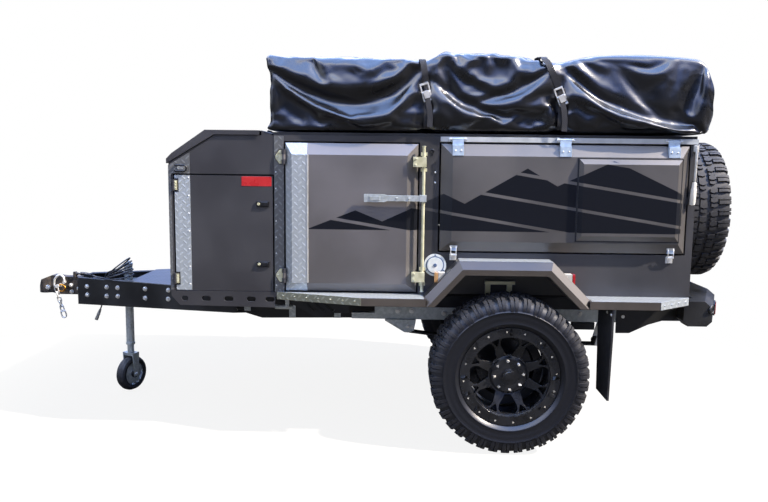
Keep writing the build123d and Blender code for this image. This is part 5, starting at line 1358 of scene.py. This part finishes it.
strap_work, buckle_work = bmesh.new(), bmesh.new()
for n, strap in enumerate(strap_lines):
    heights = range(0, 401, 20)
    round_line = [(-cover_half, cover_bottom + z) for z in heights]
    round_line += [(y, cover_bottom + box_height) for y in range(-780, 781, 30)]
    round_line += [(cover_half, cover_bottom + z) for z in reversed(heights)]
    line = []
    for y, z in round_line:
        if n == 0:
            lean = -26 * max(0, (z - cover_bottom - 230) / 170)
        else:
            lean = -88 * max(0, (z - cover_bottom - 210) / 190)
        share = min(1, (abs(y) - 200) / 400 if abs(y) > 200 else 0)
        spot = cover_point(Vector((strap + 10 + lean * share, y, z)))
        outward = Vector((0, spot.y / 60 if abs(y) > 700 else 0, 1 if z > cover_bottom + 380 else 0.05))
        line.append(spot + outward.normalized() * 5)
    add_webbing(strap_work, line, (1, 0, 0), 30)
    for side in (left, right):
        middle = cover_point(Vector((strap + 4, side * cover_half, cover_bottom + 215 - 12 * n)))
        middle += Vector((0, side * 9, 0))
        lean = Vector((0.28 if n == 0 else 0.42, 0, -1)).normalized()
        cross = Vector((lean.z, 0, -lean.x))
        for low, high, wide, thick, offsets in ((-44, -34, 21, 5, (0,)), (34, 44, 21, 5, (0,)),
                                                (-40, 40, 3.2, 4, (-19, 19))):
            for offset in offsets:
                corners = [middle + lean * a + cross * (b + offset) for a, b in
                           ((low, -wide), (high, -wide), (high, wide), (low, wide))]
                add_plate(buckle_work, corners, (0, side * thick, 0))
        add_bar(buckle_work, [middle + lean * 2 + cross * a + Vector((0, side * 5, 0)) for a in (-20, 20)], 5,
                12)
        plate = [middle + lean * a + cross * b + Vector((0, side * 8, 0))
                 for a, b in ((-6, -15), (30, -13), (30, 13), (-6, 15))]
        add_plate(buckle_work, plate, (0, side * 3, 0))
        tail = [middle + Vector((6, side * 7, -26)), middle + Vector((16, side * 12, -70)),
                middle + Vector((22, side * 8, -120)), middle + Vector((20, side * 9, -165))]
        add_webbing(strap_work, tail, (1, 0, 0), 26)
set_mesh("cover_straps", strap_work, "chassis", webbing, sharp=50)
set_mesh("strap_buckles", buckle_work, "chassis", bright_zinc, bevel_mm=1.0)


# Floor and light: a pale studio floor, a sun high on the right, a soft lamp from the left and an open sky.
# Only the camera sees the floor and the sky as white: bright finishes mirror a blue sky over dark ground, as
# outdoors.
world = bpy.data.worlds.new("open_air")
bpy.context.scene.world = world
world.use_nodes = True
tree = world.node_tree
tree.nodes.clear()
path = add_node(tree, "ShaderNodeLightPath")
skyward = add_node(tree, "ShaderNodeTexCoord").outputs["Generated"]
view = add_node(tree, "ShaderNodeSeparateXYZ", {0: skyward})
clouds = add_node(tree, "ShaderNodeTexNoise", {"Vector": skyward, "Scale": 2.4, "Detail": 4.0})
height = maths(tree, "MULTIPLY_ADD", clouds.outputs["Fac"], 0.5, view.outputs["Z"])
sky = add_node(tree, "ShaderNodeValToRGB", {0: height.outputs[0]})
for position, colour in ((0.22, "#0d0e10"), (0.34, "#2b3036"), (0.5, "#525f7c"), (0.7, "#5f7fd2"),
                         (1.0, "#8fb0f0")):
    stop = sky.color_ramp.elements.new(position)
    stop.color = linear(colour)
glare = add_node(tree, "ShaderNodeMapRange", {0: height.outputs[0], 1: 0.5, 2: 1.0, 3: 1.6, 4: 8.0})
mirrored_sky = add_node(tree, "ShaderNodeBackground", {"Color": sky.outputs[0], "Strength": glare.outputs[0]})
even_light = add_node(tree, "ShaderNodeBackground", {"Color": linear("#dde6f7"), "Strength": 0.34})
plain_white = add_node(tree, "ShaderNodeBackground", {"Color": linear("#ffffff"), "Strength": 1.0})
seen = maths(tree, "MAXIMUM", path.outputs["Is Camera Ray"], path.outputs["Is Transmission Ray"])
around = add_node(tree, "ShaderNodeMixShader", {0: path.outputs["Is Glossy Ray"], 1: even_light.outputs[0],
                                                2: mirrored_sky.outputs[0]})
shown = add_node(tree, "ShaderNodeMixShader", {0: seen.outputs[0], 1: around.outputs[0],
                                               2: plain_white.outputs[0]})
add_node(tree, "ShaderNodeOutputWorld", {"Surface": shown.outputs[0]})

floor_finish, tree, shader, spot = new_finish("pale_studio_floor")
path = add_node(tree, "ShaderNodeLightPath")
speckle = add_node(tree, "ShaderNodeTexNoise", {"Vector": spot, "Scale": 3.0, "Detail": 4.0})
pale = mix_colours(tree, speckle.outputs["Fac"], linear("#e9e9e8"), linear("#efefee"))
ground = mix_colours(tree, path.outputs["Is Glossy Ray"], linear("#8f8e8b"), linear("#262522"))
tone = mix_colours(tree, path.outputs["Is Camera Ray"], ground.outputs[2], pale.outputs[2])
set_inputs(tree, shader, {"Base Color": tone.outputs[2], "Roughness": 0.9})
away = add_node(tree, "ShaderNodeVectorMath", {0: spot}, operation="LENGTH")
clear = add_node(tree, "ShaderNodeMapRange", {0: away.outputs["Value"], 1: 1.6, 2: 3.2, 3: 0.88, 4: 1.0},
                 interpolation_type="SMOOTHSTEP")
clear = maths(tree, "MULTIPLY", clear.outputs[0], path.outputs["Is Camera Ray"])
white = add_node(tree, "ShaderNodeEmission", {"Color": linear("#ffffff"), "Strength": 1.0})
lit = add_node(tree, "ShaderNodeMixShader", {0: clear.outputs[0], 1: shader.outputs[0], 2: white.outputs[0]})
output = next(node for node in tree.nodes if node.type == "OUTPUT_MATERIAL")
set_inputs(tree, output, {"Surface": lit.outputs[0]})
floor_mesh = bpy.data.meshes.new("studio_floor")
floor_half = 60.0
floor_mesh.from_pydata([(-floor_half, -floor_half, 0), (floor_half, -floor_half, 0),
                        (floor_half, floor_half, 0), (-floor_half, floor_half, 0)], [], [(0, 1, 2, 3)])
floor_mesh.materials.append(floor_finish)
studio_floor = bpy.data.objects.new("studio_floor", floor_mesh)
bpy.context.scene.collection.objects.link(studio_floor)

lamp_target = Vector((0.1, 0.0, 0.9))
lamp_table = [("sun", "SUN", (6.6, -2.1, 7.2), 9.0, 0.02, "#fff1e0"),
              ("fill_lamp", "AREA", (-4.5, -4.0, 3.0), 60.0, 4.0, "#e6eeff")]
for name, kind, place, power, size, tint in lamp_table:
    lamp = bpy.data.lights.new(name, kind)
    if kind == "SUN":
        lamp.angle = size
    else:
        lamp.size = size
    lamp.energy = power
    lamp.color = linear(tint)[:3]
    holder = bpy.data.objects.new(name, lamp)
    aim = lamp_target - Vector(place)
    holder.matrix_world = Matrix.Translation(place) @ aim.to_track_quat("-Z", "Y").to_matrix().to_4x4()
    bpy.context.scene.collection.objects.link(holder)

bpy.context.scene.view_settings.view_transform = "Standard"
